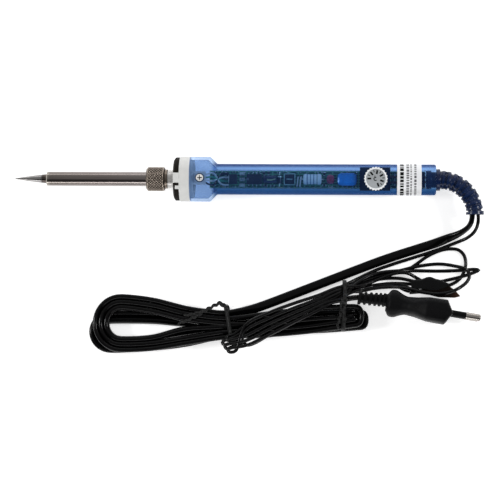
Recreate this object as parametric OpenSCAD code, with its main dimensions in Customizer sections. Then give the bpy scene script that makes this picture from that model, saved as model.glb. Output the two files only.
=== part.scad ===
// Temperature-controlled soldering iron: clear handle, thumb dial, tied mains lead and earth lead.
// Millimetres. +X runs from the tip to the cord boot, +Z is up and z = 0 is the bench.
// The origin is below the middle of the iron, between the tip's point and the handle's end.

/* [Tip and barrel] */
// Length of the iron from the tip's point to the handle's end
iron_l = 232; // [228:1:240]
// Length of the cone that stands out of the barrel
nose_l = 17.7; // [14:0.1:20]
// Diameter of the cone where it enters the barrel
nose_d = 5; // [4:0.1:5.2]
// Outer diameter of the steel barrel
barrel_d = 7.8; // [7.6:0.1:7.9]
// Depth of the tip's shank inside the barrel
shank_l = 24; // [20:0.5:28]
// Diameter of the ceramic heater rod
heater_d = 3.8; // [3.2:0.1:4]

/* [Nut and collar] */
// Diameter of the knurled nut
nut_d = 13.3; // [12:0.1:16]
// Length of the nut with its rear step
nut_l = 11.7; // [11:0.1:14]
// Diameter of the dark insulating disc
disc_d = 23.8; // [23:0.1:24.4]
// Thickness of the insulating disc
disc_l = 3.3; // [3:0.1:4.2]
// Diameter of the white collar
collar_d = 24.9; // [24.6:0.1:26]
// Length of the white collar
collar_l = 5.7; // [5:0.1:7]

/* [Handle] */
// Length of the clear housing, bell and handle together
housing_l = 134.7; // [132:0.1:138]
// Diameter of the bell at the front of the housing
bell_d = 24.8; // [24.4:0.1:24.8]
// Length of the bell's straight wall
bell_l = 11; // [10:0.1:12]
// Diameter of the handle
handle_d = 17; // [16.6:0.1:18]
// Diameter of the handle's bore
bore_d = 10.6; // [10.6:0.1:10.8]
// Diameter of the temperature dial
dial_d = 12.9; // [12:0.1:13.2]
// Thickness of the temperature dial
dial_h = 3.3; // [2.8:0.1:4]
// Width of the wrapped rating label
label_w = 13.3; // [8:0.1:14]

/* [Leads] */
// Width of the flat mains lead
lead_w = 5.2; // [4.8:0.1:5.2]
// Thickness of the flat mains lead
lead_t = 3; // [2.6:0.1:3]
// Diameter of the earth lead
earth_d = 2; // [1.6:0.1:2]
// Radius of the bend in the cord boot
boot_bend = 19; // [18.6:0.1:19.2]

/* [Plug] */
// Thickness of the plug's body
plug_t = 13.7; // [13:0.1:13.7]
// Width of the plug's body
plug_w = 35.3; // [34.6:0.1:35.3]
// Distance between the plug's two pins
pin_gap = 18.6; // [18:0.1:19]
// Length of a pin outside the plug
pin_l = 15.5; // [15:0.1:19]
// Diameter of a pin's bare end
pin_d = 4; // [4:0.01:4.06]

/* [Hidden] */
$fn = 64;

// Stations along the iron
x_tip = -iron_l / 2;
x_nose = x_tip + nose_l;
x_end = iron_l / 2;
x_bell = x_end - housing_l;
x_collar = x_bell - collar_l;
x_disc = x_collar - disc_l;
x_nut_end = x_disc - 3.6;
x_nut = x_nut_end - nut_l;
x_seat = x_nut + 2.5;
x_shoulder = x_bell + bell_l;
x_handle = x_shoulder + 3.3;
axis_z = collar_d / 2;

// Radii that fit each other
barrel_r = barrel_d / 2;
pipe_r = barrel_r - 0.5;
root_r = barrel_r - 0.25;
thread_r = 4.5;
neck_r = 4.9;
bore_r = bore_d / 2;
handle_r = handle_d / 2;
cavity_r = bell_d / 2 - 1.7;
fit = 0.1;

// The board and the dial's seat, as heights above the iron's axis
board_top = -0.9;
board_t = 1;
board_w = 9.6;
pocket_floor = 4.9;
dial_x = 83.1;
dial_z = 5.9;
shaft_r = 2;
screw_x = x_bell + 5.8;

// Bench levels of the hanks: a tie passes under the mains hank, and the earth hank lies on it
tie_t = 0.8;
hank_z = 0.9;
hank_h = 10.6;
earth_z = 12.5;
earth_h = 4.8;
loops_h = 4.3;
bundle_x = 50;
bundle_run = 41;
bundle_tilt = atan((earth_z - 0.3) / bundle_run);

// The plug lies on its narrow edge
plug_at = [73.7, -64.7, plug_w / 2];
plug_turn = -9.4;
plug_front = 51.6;
sleeve_l = 7.5;
sleeve_r = pin_d / 2 - 0.2;

// The clip lies on its side, on the earth lead's loops
clip_at = [114.7, -59, 8.5];
clip_rivet_r = 0.8;

// Route of the mains lead: x, y, z and its twist, from the boot into the hank
mains_route = [
  [135.9, -19, 12.4, 88], [135.6, -22.2, 11.7, 88], [134.2, -25.2, 9.9, 85], [131.5, -27.6, 7.6, 78],
  [127.8, -29.6, 5.2, 64], [123.3, -31.4, 3.3, 40], [117, -33.9, 1.8, 12], [107, -37.2, 1.6, 0],
  [96.5, -40.6, 1.6, 0], [85.5, -44.4, 1.6, 0], [74.5, -48.6, 1.6, 0], [63.5, -52.9, 1.6, 0],
  [52.5, -57.2, 1.6, 0], [41.5, -61.5, 1.6, 0], [32, -65.2, 1.9, 0], [23.5, -68.5, 3.1, 2],
  [15.5, -71.3, 4.9, 15], [7.5, -73.1, 6.9, 45], [0, -73.7, 8.1, 75], [-8, -73.6, 8.3, 88]];
// Route of the short run from the hank to the plug
tail_route = [
  [50, -71, 8.6, 90], [56, -68.7, 9.8, 90], [61, -67, 12, 90], [66, -65.8, 14.8, 90],
  [70.5, -65, 16.9, 90], [73.8, -64.7, 17.6, 90]];
// Route of the earth lead from the boot to its bundle
earth_route = [
  [139.1, -19, 12.4], [139.2, -21.8, 12], [138.6, -25.4, 10], [136.8, -28.7, 7.2], [133.4, -31.4, 4.4],
  [129.6, -33.1, 2.4], [125, -34.9, 1.3], [120, -36.9, 1.1], [115, -38.7, 1.1], [110, -40.4, 1.1],
  [105, -42, 1.1], [100, -43.6, 1.1], [95, -45.2, 1.1], [90, -46.9, 1.2], [85, -48.7, 1.7],
  [80, -50.9, 3.2], [74, -53.9, 5.6]];
// Route of the earth lead's last run, from the bundle to the clip
clip_route = [
  [84, -57.8, 4.6], [88.5, -57.9, 5.6], [93, -58.1, 6.9], [96.5, -58.9, 7.9], [99.3, -60.3, 8.4],
  [101.7, -61.1, 8.5]];
// Outline of the mains hank, and of the eye in its left bend
hank_outline = [
  [-73.2, -73.5], [-70.5, -68.8], [-64.5, -65.4], [-52, -63.6], [-41, -64.7], [-19, -69.1],
  [-4, -72.6], [8, -73.6], [25, -72.6], [40, -70.6], [54, -68.4], [75.5, -68.2], [77.5, -70.5],
  [77.5, -73.6], [79.6, -75.5], [79.6, -78.8], [69, -81.6], [52, -84.6], [29, -86.8], [-2, -88.2],
  [-24, -91.2], [-46, -95.2], [-60, -95.4], [-69, -93.6], [-74.6, -89.4], [-76.5, -83.5]];
hank_eye = [
  [-62.8, -80.7], [-57, -79.2], [-48, -78.9], [-36, -80], [-29.4, -81.2], [-38, -84], [-52, -86.3],
  [-58.5, -85]];
// Outlines of the earth lead's hank, bundle and loops
earth_outline = [
  [-1.6, -88.6], [8, -82.8], [14, -77.2], [25, -71.4], [41.5, -66.1], [bundle_x, -63.4],
  [bundle_x, -70.6], [41.5, -76], [30, -82.8], [20, -87.8], [11, -91.8], [2, -95.4], [0, -94.6]];
bundle_outline = [
  [0, -63.4], [8, -60.4], [16, -57], [24, -53], [32, -50.2], [bundle_run, -48.6],
  [bundle_run, -59.3], [32, -59.6], [24, -60.8], [16, -62.4], [8, -64.6], [0, -69]];
loops_outline = [
  [91.5, -48.5], [99, -48.5], [105, -46], [113, -41.2], [119, -39], [125, -37.6], [130, -39],
  [133, -43], [134, -47.8], [139.6, -48.6], [139.6, -50], [136.8, -53], [133.5, -57.6],
  [126, -62.3], [110, -62.8], [102, -62], [99, -59.3], [91.5, -59.3]];

// Sweep: a closed tube whose rings follow a route's points
function xyz(p) = [p[0], p[1], p[2]];
function unit(v) = v / norm(v);
function along(route, i) =
  unit(xyz(route[min(i + 1, len(route) - 1)]) - xyz(route[max(i - 1, 0)]));
function ring(route, i, w, t, sides) =
  let (run = along(route, i), side = unit(cross(run, [0, 0, 1])), up = cross(side, run))
  let (turn = len(route[i]) > 3 ? route[i][3] : 0)
  let (wide = side * cos(turn) + up * sin(turn), thin = up * cos(turn) - side * sin(turn))
  [for (k = [0:sides - 1]) let (a = (k + 0.5) * 360 / sides)
    xyz(route[i]) + wide * cos(a) * w / 2 + thin * sin(a) * t / 2];

module sweep(route, w, t, sides = 8) {
  last = len(route) - 1;
  points = [for (i = [0:last]) each ring(route, i, w, t, sides)];
  walls = [for (i = [0:last - 1], k = [0:sides - 1])
    let (a = i * sides + k, b = i * sides + (k + 1) % sides)
    each [[a, b, b + sides], [a, b + sides, a + sides]]];
  front = [for (k = [sides - 1:-1:0]) k];
  back = [for (k = [0:sides - 1]) last * sides + k];
  polyhedron(points, concat(walls, [front, back]));
}

// Helpers for round parts on the iron's axis
module on_axis() {
  translate([0, 0, axis_z]) children();
}
module turned(profile) {
  on_axis() rotate([0, 90, 0]) rotate_extrude() polygon([for (p = profile) [p[1], p[0]]]);
}
module rod_x(x, l, r) {
  translate([x, 0, 0]) rotate([0, 90, 0]) cylinder(h = l, r = r);
}
module block(x, l, w, z, h) {
  translate([x, -w / 2, z]) cube([l, w, h]);
}

// Front end: tip, barrel, nut and heater
module soldering_tip() {
  color("silver") turned([
    [x_tip, 0], [x_tip + 0.1, 0.25], [x_tip + 9, 1.6], [x_nose - 4, nose_d / 2 - 0.3],
    [x_nose - 0.4, nose_d / 2], [x_nose + 0.9, nose_d / 2], [x_nose + 0.9, pipe_r - 0.25],
    [x_nose + 0.9 + shank_l, pipe_r - 0.25], [x_nose + 0.9 + shank_l, heater_d / 2 + 0.2],
    [x_nose + 2.8, heater_d / 2 + 0.2], [x_nose + 1.8, 0]]);
}
module tip_barrel() {
  color("dimgray") turned([
    [x_nose, nose_d / 2 + 0.2], [x_nose, barrel_r - 0.3], [x_nose + 0.3, barrel_r],
    [x_nut - 0.2, barrel_r], [x_nut - 0.2, root_r], [x_seat - 1, root_r],
    [x_seat - 1, thread_r - fit], [x_seat, thread_r - fit],
    [x_seat, pipe_r], [x_nose + 0.8, pipe_r], [x_nose + 0.8, nose_d / 2 + 0.2]]);
}
module barrel_nut() {
  nut_r = nut_d / 2;
  color("gray") turned([
    [x_nut, root_r + fit], [x_nut, nut_r - 0.9], [x_nut + 0.9, nut_r],
    [x_nut_end - 2, nut_r], [x_nut_end - 1.4, nut_r - 0.6], [x_nut_end - 1.4, 5.3],
    [x_nut_end, 5.3], [x_nut_end, thread_r + fit], [x_seat - 1.1, thread_r + fit],
    [x_seat - 1.1, root_r + fit]]);
}
module threaded_neck() {
  color("gainsboro") turned([
    [x_seat + fit, heater_d / 2 + 0.2], [x_seat + fit, thread_r - 0.3], [x_seat + 0.4, thread_r],
    [x_nut_end + fit, thread_r], [x_nut_end + fit, neck_r], [x_collar + 0.1, neck_r],
    [x_collar + 0.1, 8], [x_collar + 1.5, 8], [x_collar + 1.5, 3.4], [x_nut_end, 3.4],
    [x_nut_end, heater_d / 2 + 0.2]]);
}
module heater_rod() {
  r = heater_d / 2;
  color("linen") turned([
    [x_nose + 3.1, 0], [x_nose + 3.1, r - 0.2], [x_nose + 3.3, r], [x_nut_end + 1, r],
    [x_nut_end + 1, 3.3], [x_nut_end + 4, 3.3], [x_nut_end + 4, r], [x_collar + 3, r],
    [x_collar + 3, 0]]);
}

// Disc, collar and its tabs. One wide tab and one narrow lug share each third of the circle.
module collar_tabs(inner, outer, widen) {
  on_axis() for (turn = [0, 120, 240]) rotate([turn, 0, 0]) intersection() {
    difference() {
      rod_x(x_disc - 0.5, disc_l + 0.6, outer);
      rod_x(x_disc - 1, disc_l + 2, inner);
    }
    union() {
      block(x_disc + 0.1 - widen, disc_l + widen, 5.5 + 2 * widen, 0, 20);
      rotate([26, 0, 0]) block(x_disc + 1.2 - widen, disc_l - 1 + widen, 2 + 2 * widen, 0, 20);
    }
  }
}
module insulator_disc() {
  r = disc_d / 2;
  color("#2b211c") difference() {
    turned([
      [x_disc, neck_r + 0.05], [x_disc, r - 1.3], [x_disc + 1, r], [x_collar - 0.05, r],
      [x_collar - 0.05, neck_r + 0.05]]);
    collar_tabs(r - 1.5, r + 2, 0.15);
  }
}
module front_collar() {
  r = collar_d / 2;
  color("ivory") difference() {
    union() {
      turned([
        [x_collar, 8.1], [x_collar, r - 0.3], [x_collar + 0.3, r], [x_bell - 0.3, r],
        [x_bell - 0.05, r - 0.25], [x_bell - 0.05, cavity_r - 0.1], [x_bell + 2, cavity_r - 0.1],
        [x_bell + 2, cavity_r - 1.6], [x_bell - 1.2, cavity_r - 1.6], [x_bell - 1.2, 3.6],
        [x_collar + 1.6, 3.6], [x_collar + 1.6, 8.1]]);
      collar_tabs(disc_d / 2 - 1.4, disc_d / 2 + 0.2, 0);
      on_axis() block(x_bell - 1, 9.8, 7.2, 6.6, cavity_r - 7.4);
    }
    on_axis() translate([screw_x, 0, 0]) cylinder(h = bell_d, r = 1.1);
  }
}

// Clear housing with the dial's flat and the screw's seat
module handle_shell() {
  color("royalblue", 0.6) difference() {
    turned([
      [x_bell, cavity_r], [x_bell, bell_d / 2 - 0.2], [x_bell + 0.2, bell_d / 2],
      [x_shoulder, bell_d / 2], [x_handle, handle_r + 0.45], [x_handle + 0.5, handle_r],
      [x_end - 0.7, handle_r], [x_end, handle_r - 0.7], [x_end, 4.35], [x_end - 2.5, 4.35],
      [x_end - 2.5, bore_r], [x_handle + 1, bore_r], [x_shoulder - 1.2, cavity_r]]);
    on_axis() {
      translate([screw_x, 0, 0]) cylinder(h = bell_d, r = 1.25);
      translate([screw_x, 0, bell_d / 2 - 1]) cylinder(h = 3, r = 2.2);
      translate([dial_x - 0.4, 0, pocket_floor + 5]) cube([16.8, handle_d, 10], center = true);
      translate([dial_x, 0, 0]) cylinder(h = 6, r = 3.2);
    }
  }
}
module shell_screw() {
  color("silver") on_axis() translate([screw_x, 0, 0]) difference() {
    union() {
      translate([0, 0, 7.2]) cylinder(h = 5, r = 1.05);
      translate([0, 0, bell_d / 2 - 0.95]) cylinder(h = 1.2, r = 1.95);
    }
    for (turn = [0, 90]) rotate([0, 0, turn]) block(-1.2, 2.4, 0.5, bell_d / 2 - 0.3, 1);
  }
}

// Board and parts. The parts stand on the board's top face.
module on_board() {
  translate([0, 0, axis_z + board_top]) children();
}
module heater_leads() {
  start_x = x_collar + 2.6;
  color("whitesmoke") for (k = [0:3]) {
    y = 1.1 * (k - 1.5);
    sweep([
      [start_x, y / 2, axis_z + 2.4], [start_x + 6, y, axis_z + 3], [start_x + 13, 1.6 * y, axis_z + 1.6],
      [start_x + 19, 1.8 * y, axis_z + 0.2], [start_x + 24, 1.8 * y, axis_z + board_top + 0.5]],
      0.9, 0.9, 6);
  }
}
module circuit_board() {
  color("seagreen") on_axis() block(x_shoulder - 0.5, 99, board_w, board_top - board_t, board_t);
}
module terminal_pads() {
  color("palegreen") on_board() for (y = [-3.2, 0, 3.2]) translate([9.7, y, 0.1])
    cube([3, 1.9, 0.2], center = true);
}
module heater_triac() {
  color("#202020") on_board() {
    block(2.6, 4.4, 5.4, 0.6, 3.2);
    for (y = [-1.8, 0, 1.8]) translate([0, y, 0]) block(5.2, 0.6, 0.6, 0, 0.55);
  }
}
module control_chip() {
  color("#242424") on_board() {
    block(12.2, 8.4, 5.6, 0.6, 3);
    for (k = [0:3], s = [-1, 1]) translate([13.1 + 2.2 * k, s * 3.2, 0]) cube([0.5, 0.4, 1.6]);
  }
}
module timing_capacitor() {
  color("#1c1c28") on_board() translate([0, 0, 2.2]) {
    rod_x(21.4, 7.4, 2.1);
  }
}
module rectifier_diode() {
  color("#303030") on_board() translate([30.3, 0, 1.3]) rotate([90, 0, 0]) {
    cylinder(h = 4.6, r = 1.2, center = true);
    cylinder(h = 8, r = 0.35, center = true);
  }
}
module calibration_trimmer() {
  color("powderblue") on_board() {
    block(32.7, 6.3, 6.4, 0.02, 2.6);
    translate([35.85, 0, 2.6]) cylinder(h = 0.9, r = 2.6);
  }
}
module jumper_wires() {
  color("white") on_board() for (x = [40, 41.6]) translate([x, -1, 0.6]) rotate([90, 0, 0]) {
    cylinder(h = 5, r = 0.4, center = true);
  }
}
module dropper_resistor() {
  color("aliceblue") on_board() translate([0, 0, 3.02]) {
    rod_x(43.3, 10.2, 3);
    rod_x(42.6, 11.6, 0.4);
  }
}
module red_capacitor() {
  color("firebrick") on_board() translate([0, 0, 2.7]) rod_x(56.2, 4.2, 2.65);
}
module blue_capacitor() {
  color("dodgerblue") on_board() block(61.8, 11.2, 7, 0.02, 4.2);
}
module potentiometer_body() {
  color("#303438") on_axis() translate([dial_x, 0, 0]) difference() {
    union() {
      block(-4.8, 9.6, 8.4, board_top + 0.02, 3.9);
      translate([0, 0, 2.8]) cylinder(h = 2.9, r = 3);
    }
    translate([0, 0, 0.2]) cylinder(h = 8, r = shaft_r + 0.05);
  }
}
module dial_bezel() {
  color("#14182a") on_axis() translate([dial_x - 0.4, 0, pocket_floor + 0.05]) difference() {
    block(-8.3, 16.6, 12.8, 0, 0.7);
    translate([0.4, 0, -1]) cylinder(h = 3, r = 3.1);
  }
}
module dial_shaft() {
  color("silver") on_axis() translate([dial_x, 0, 0.3]) cylinder(h = dial_z + dial_h - 1.5, r = shaft_r);
}
module temperature_dial() {
  r = dial_d / 2;
  scallops = 24;
  color("gainsboro") on_axis() translate([dial_x, 0, dial_z]) difference() {
    cylinder(h = dial_h, r = r);
    for (k = [0:scallops - 1]) rotate([0, 0, (k + 0.5) * 360 / scallops]) translate([r + 0.25, 0, -1])
      cylinder(h = dial_h + 2, r = 0.7, $fn = 24);
    translate([0, 0, dial_h - 0.4]) cylinder(h = 1, r = r - 1);
    translate([0, 0, -1]) cylinder(h = dial_h - 0.2, r = shaft_r);
  }
}
module supply_wires() {
  color("saddlebrown") for (s = [-1, 1]) {
    sweep([[x_end - 25.2, 1.6 * s, axis_z + board_top + 0.8], [x_end - 19, 1.5 * s, axis_z + 0.4],
      [x_end - 12, 1.3 * s, axis_z + 0.2], [x_end - 5.6, 1.3 * s, axis_z]], 1.5, 1.5, 8);
  }
}
module rating_label() {
  color("white") on_axis() difference() {
    rod_x(x_end - 8 - label_w, label_w, handle_r + 0.12);
    rod_x(x_end - 9 - label_w, label_w + 2, handle_r + 0.02);
  }
}

// Cord boot: an inner flange, a neck in the housing's wall and a bent body
module strain_relief_boot() {
  bend_x = x_end + 2.3;
  color("midnightblue") {
    turned([
      [x_end - 5.5, 0], [x_end - 5.5, 5], [x_end - 2.55, 5], [x_end - 2.55, 4.3], [x_end + 0.05, 4.3],
      [x_end + 0.05, 6], [bend_x, 6], [bend_x, 0]]);
    translate([bend_x, -boot_bend, axis_z]) rotate_extrude(angle = 90)
      translate([boot_bend, 0]) circle(r = 4.7);
  }
}

// Mains lead
module mains_lead() {
  color("#151515") sweep(mains_route, lead_w, lead_t, 10);
}
module mains_hank() {
  color("#1c1c1c") translate([0, 0, hank_z]) linear_extrude(hank_h) difference() {
    polygon(hank_outline);
    polygon(hank_eye);
  }
}
module mains_tail() {
  color("#151515") sweep(tail_route, lead_w, lead_t, 10);
}

// Plug: local x runs along the plug to its pins, and its width stands upright
module in_plug() {
  translate(plug_at) rotate([0, 0, plug_turn]) children();
}
module two_way(plan, side) {
  intersection() {
    translate([0, 0, -plug_w]) linear_extrude(2 * plug_w)
      polygon(concat(plan, [for (k = [len(plan) - 1:-1:0]) [plan[k][0], -plan[k][1]]]));
    rotate([90, 0, 0]) translate([0, 0, -plug_w]) linear_extrude(2 * plug_w)
      polygon(concat(side, [for (k = [len(side) - 1:-1:0]) [side[k][0], -side[k][1]]]));
  }
}
module plug_strain_relief() {
  color("#181818") in_plug() two_way(
    [[0.1, 3.8], [1.3, 3.8], [1.9, 3.1], [15.6, 3.45]],
    [[0.1, 5], [1.3, 5], [1.9, 4.3], [15.6, 5.4]]);
}
module plug_body() {
  half_t = plug_t / 2;
  half_w = plug_w / 2;
  color("#202020") in_plug() difference() {
    two_way(
      [[15.65, 4.6], [17.2, 7.5], [20.5, 7.6], [23.6, 6], [26.5, 5], [32, 5.5], [38.5, half_t - 0.2],
        [plug_front - 3.4, half_t], [plug_front, 0.6]],
      [[15.65, 6.5], [17, 9.2], [23.5, 9.2], [28, 10.5], [33, 14.6], [37, half_w - 0.4],
        [40, half_w], [plug_front - 1, half_w], [plug_front, half_w - 0.8]]);
    for (s = [-1, 1]) translate([0, 0, s * pin_gap / 2]) {
      rod_x(plug_front - 9, 12, pin_d / 2 - 0.5);
      rod_x(plug_front - 4, 8, sleeve_r);
    }
  }
}
module pin_sleeves() {
  color("#101010") in_plug() for (s = [-1, 1]) translate([0, 0, s * pin_gap / 2]) difference() {
    rod_x(plug_front - 4, sleeve_l + 4, sleeve_r);
    rod_x(plug_front - 5, sleeve_l + 6, pin_d / 2 - 0.5);
  }
}
module plug_pins() {
  color("silver") in_plug() for (s = [-1, 1]) translate([0, 0, s * pin_gap / 2]) {
    rod_x(plug_front - 9, sleeve_l + 9.5, pin_d / 2 - 0.5);
    translate([plug_front + sleeve_l, 0, 0]) rotate([0, 90, 0]) rotate_extrude()
      polygon([[0, 0], [pin_d / 2, 0], [pin_d / 2, pin_l - sleeve_l - 1],
        [pin_d / 2 - 0.4, pin_l - sleeve_l - 0.3], [pin_d / 2 - 1.2, pin_l - sleeve_l],
        [0, pin_l - sleeve_l]]);
  }
}

// Earth lead
module earth_lead() {
  color("#1a1a1a") sweep(earth_route, earth_d, earth_d, 8);
}
module earth_hank() {
  color("#222222") translate([0, 0, earth_z]) linear_extrude(earth_h) polygon(earth_outline);
}
module earth_bundle() {
  stretch = 1 / cos(bundle_tilt);
  color("#262626") translate([bundle_x, 0, earth_z]) rotate([0, bundle_tilt, 0]) linear_extrude(4.4)
    polygon([for (p = bundle_outline) [p[0] * stretch, p[1]]]);
}
module earth_loops() {
  color("#222222") linear_extrude(loops_h) polygon(loops_outline);
}
module earth_tail() {
  color("#1a1a1a") sweep(clip_route, earth_d, earth_d, 8);
}

// Crocodile clip: local z is the hinge, and local +x points to its teeth
module in_clip() {
  translate(clip_at) children();
}
module plate(z, t, outline) {
  translate([0, 0, z - t / 2]) linear_extrude(t) polygon(outline);
}
module hinge_hole(r) {
  cylinder(h = 12, r = r, center = true);
}
module clip_lower_jaw() {
  cheek = [
    [14.6, -4.5], [12, -5.4], [3, -5.2], [-3, -3.7], [-12.6, -2.6], [-12.6, -0.8], [-5, -1.2],
    [-1.8, -0.9], [-1.2, 1.3], [1.2, 1.3], [2.4, -1.6], [8, -3.2]];
  floor = [
    [14.6, -4.5], [12, -5.4], [3, -5.2], [-3, -3.7], [-12.6, -2.6], [-12.6, -2.1], [-3, -3.2],
    [3, -4.7], [12, -4.9]];
  color("#6b4a3a") in_clip() difference() {
    union() {
      plate(2.45, 0.5, cheek);
      plate(-2.45, 0.5, cheek);
      plate(0, 4.6, floor);
    }
    hinge_hole(clip_rivet_r);
  }
}
module clip_upper_jaw() {
  cheek = [
    [14.6, -4.3], [12.4, -1.6], [8, 1.7], [4, 3.4], [-1.6, 4.4], [-11.4, 3.5], [-11.4, 3],
    [-2.6, 2.4], [-1.6, -0.8], [1.2, -1.5], [8, -2.9]];
  roof = [
    [14.6, -4.3], [12.4, -1.6], [8, 1.7], [4, 3.4], [-1.6, 4.4], [-11.4, 3.5], [-11.4, 3],
    [-1.6, 3.9], [3.8, 2.9], [7.7, 1.2], [12, -2]];
  color("#7a5544") in_clip() difference() {
    union() {
      plate(1.8, 0.5, cheek);
      plate(-1.8, 0.5, cheek);
      plate(0, 3.5, roof);
    }
    hinge_hole(clip_rivet_r + 0.05);
  }
}
module clip_pin() {
  color("silver") in_clip() {
    cylinder(h = 5.6, r = clip_rivet_r, center = true);
    for (s = [-1, 1]) translate([0, 0, s * 2.875]) cylinder(h = 0.3, r = 1.2, center = true);
  }
}
module clip_spring() {
  color("gray") in_clip() for (k = [-1:1]) translate([0, 0, k * 0.8]) rotate_extrude()
    translate([1.25, 0]) circle(r = 0.3, $fn = 16);
}
module clip_sleeve() {
  color("#121212") in_clip() translate([-12.9, -2.1, 0]) rotate([0, 90, 5]) difference() {
    cylinder(h = 5.4, r = 1.6);
    translate([0, 0, 2]) cylinder(h = 8, r = 1);
  }
}
module clip_grip() {
  shell = [
    [8.6, 2.2], [4.2, 4.1], [0.6, 5.1], [-2.2, 6], [-5, 5], [-7, 4.3], [-11.9, 4.1], [-11.9, 3.7],
    [-1.6, 4.55], [4, 3.55], [8.4, 1.75]];
  flank = [
    [8.6, 2.2], [4.2, 4.1], [0.6, 5.1], [-2.2, 6], [-5, 5], [-7, 4.3], [-11.9, 4.1], [-11.9, 2.6],
    [-3.5, 1.4], [-2, -0.6], [2, -1], [6.5, 0.4]];
  color("#101010") in_clip() {
    plate(0, 6.2, shell);
    plate(3.4, 0.6, flank);
    plate(-3.4, 0.6, flank);
  }
}

// Ties: a flat wire tie around each bundle
module band(x, y_low, y_high, z_low, z_high, w) {
  difference() {
    translate([x, y_low, z_low]) cube([w, y_high - y_low, z_high - z_low]);
    translate([x - 1, y_low + tie_t, z_low + tie_t])
      cube([w + 2, y_high - y_low - 2 * tie_t, z_high - z_low - 2 * tie_t]);
  }
}
module hank_tie() {
  color("#0c0c0c") {
    band(1, -89.6, -68.6, 0, hank_z + hank_h + 0.95, 2.6);
    translate([-1, -69.6, hank_z + hank_h + 1.2]) rotate([0, 90, -158]) cylinder(h = 24, r = 1.1);
  }
}
module bundle_tie() {
  color("#0c0c0c") band(65.6, -83.6, -54.8, 0, 20.2, 2.6);
}

soldering_tip();
tip_barrel();
barrel_nut();
heater_rod();
threaded_neck();
insulator_disc();
front_collar();
handle_shell();
shell_screw();
heater_leads();
circuit_board();
terminal_pads();
heater_triac();
control_chip();
timing_capacitor();
rectifier_diode();
calibration_trimmer();
jumper_wires();
dropper_resistor();
red_capacitor();
blue_capacitor();
potentiometer_body();
dial_bezel();
dial_shaft();
temperature_dial();
supply_wires();
rating_label();
strain_relief_boot();
mains_lead();
mains_hank();
mains_tail();
plug_strain_relief();
plug_body();
pin_sleeves();
plug_pins();
earth_lead();
earth_hank();
earth_bundle();
earth_loops();
earth_tail();
clip_lower_jaw();
clip_upper_jaw();
clip_pin();
clip_spring();
clip_sleeve();
clip_grip();
hank_tie();
bundle_tie();
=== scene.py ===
# Soldering iron with a clear handle, a tied mains lead and an earth lead: materials, detail and cords.
# Lengths are millimetres unless a name says otherwise, and add_piece turns them into metres.
import math
import random

import bmesh
import bpy
from mathutils import Matrix, Vector


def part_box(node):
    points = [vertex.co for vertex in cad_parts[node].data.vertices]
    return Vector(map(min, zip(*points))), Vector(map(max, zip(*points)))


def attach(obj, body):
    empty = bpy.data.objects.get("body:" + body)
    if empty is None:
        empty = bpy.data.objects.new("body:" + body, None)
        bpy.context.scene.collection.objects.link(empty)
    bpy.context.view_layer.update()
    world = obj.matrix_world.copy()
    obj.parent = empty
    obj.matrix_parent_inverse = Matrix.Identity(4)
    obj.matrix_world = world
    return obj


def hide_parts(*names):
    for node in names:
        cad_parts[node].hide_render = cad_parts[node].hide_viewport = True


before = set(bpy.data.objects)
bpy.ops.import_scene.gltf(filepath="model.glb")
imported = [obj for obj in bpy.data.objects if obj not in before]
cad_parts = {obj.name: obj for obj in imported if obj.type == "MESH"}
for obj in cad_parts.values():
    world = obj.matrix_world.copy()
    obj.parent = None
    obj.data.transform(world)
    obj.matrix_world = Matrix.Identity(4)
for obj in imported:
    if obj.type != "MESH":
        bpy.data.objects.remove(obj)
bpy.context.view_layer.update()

MM = 0.001


def mm(*values):
    return Vector(values) * MM


def span(name):
    """Lowest and highest corner of a CAD node, in mm."""
    low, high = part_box(name)
    return Vector(low) / MM, Vector(high) / MM


BARREL_LOW, BARREL_HIGH = span("tip_barrel")
NUT_LOW, NUT_HIGH = span("barrel_nut")
SHELL_LOW, SHELL_HIGH = span("handle_shell")
BOARD_LOW, BOARD_HIGH = span("circuit_board")
DIAL_LOW, DIAL_HIGH = span("temperature_dial")
LABEL_LOW, LABEL_HIGH = span("rating_label")
BOOT_LOW, _ = span("strain_relief_boot")
SCREW_LOW, SCREW_HIGH = span("shell_screw")
AXIS_Z = (BARREL_LOW.z + BARREL_HIGH.z) / 2
BOARD_TOP = BOARD_HIGH.z
NUT_R = (NUT_HIGH.y - NUT_LOW.y) / 2
LABEL_R = (LABEL_HIGH.y - LABEL_LOW.y) / 2
SHELL_R = LABEL_R - 0.12
HANDLE_FRONT = SHELL_LOW.x + 14.3

# Camera, straight above the middle of the leads; the roll is in degrees
CAMERA_AT = mm(76, -86, 1195)
CAMERA_AIM = mm(14.3, -38.9, AXIS_Z)
CAMERA_LENS = 155.3
CAMERA_ROLL = 0.4
# Lights: place and size in metres, then watts
LIGHT_AIM = (0.01, -0.04, 0)
LIGHTS = {
    "north": ((0, 1.0, 0.30), (1.6, 0.25), 2.2), "south": ((0, -1.1, 0.42), (1.8, 0.30), 6.8),
    "east": ((1.3, 0.1, 1.0), (0.30, 0.30), 9.5), "west": ((-1.3, 0, 1.0), (0.30, 0.30), 9.5)}
# Studio brightness from its south side (0) to its north side (1)
STUDIO_LEVELS = [(0, 0.30), (0.14, 0.14), (0.22, 0.04), (0.34, 0.07), (0.45, 0.38), (0.7, 0.40), (1, 0.6)]
BENCH_HALF = 3.0      # metres
BENCH_DROP = 0.0001   # metres below the object
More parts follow.
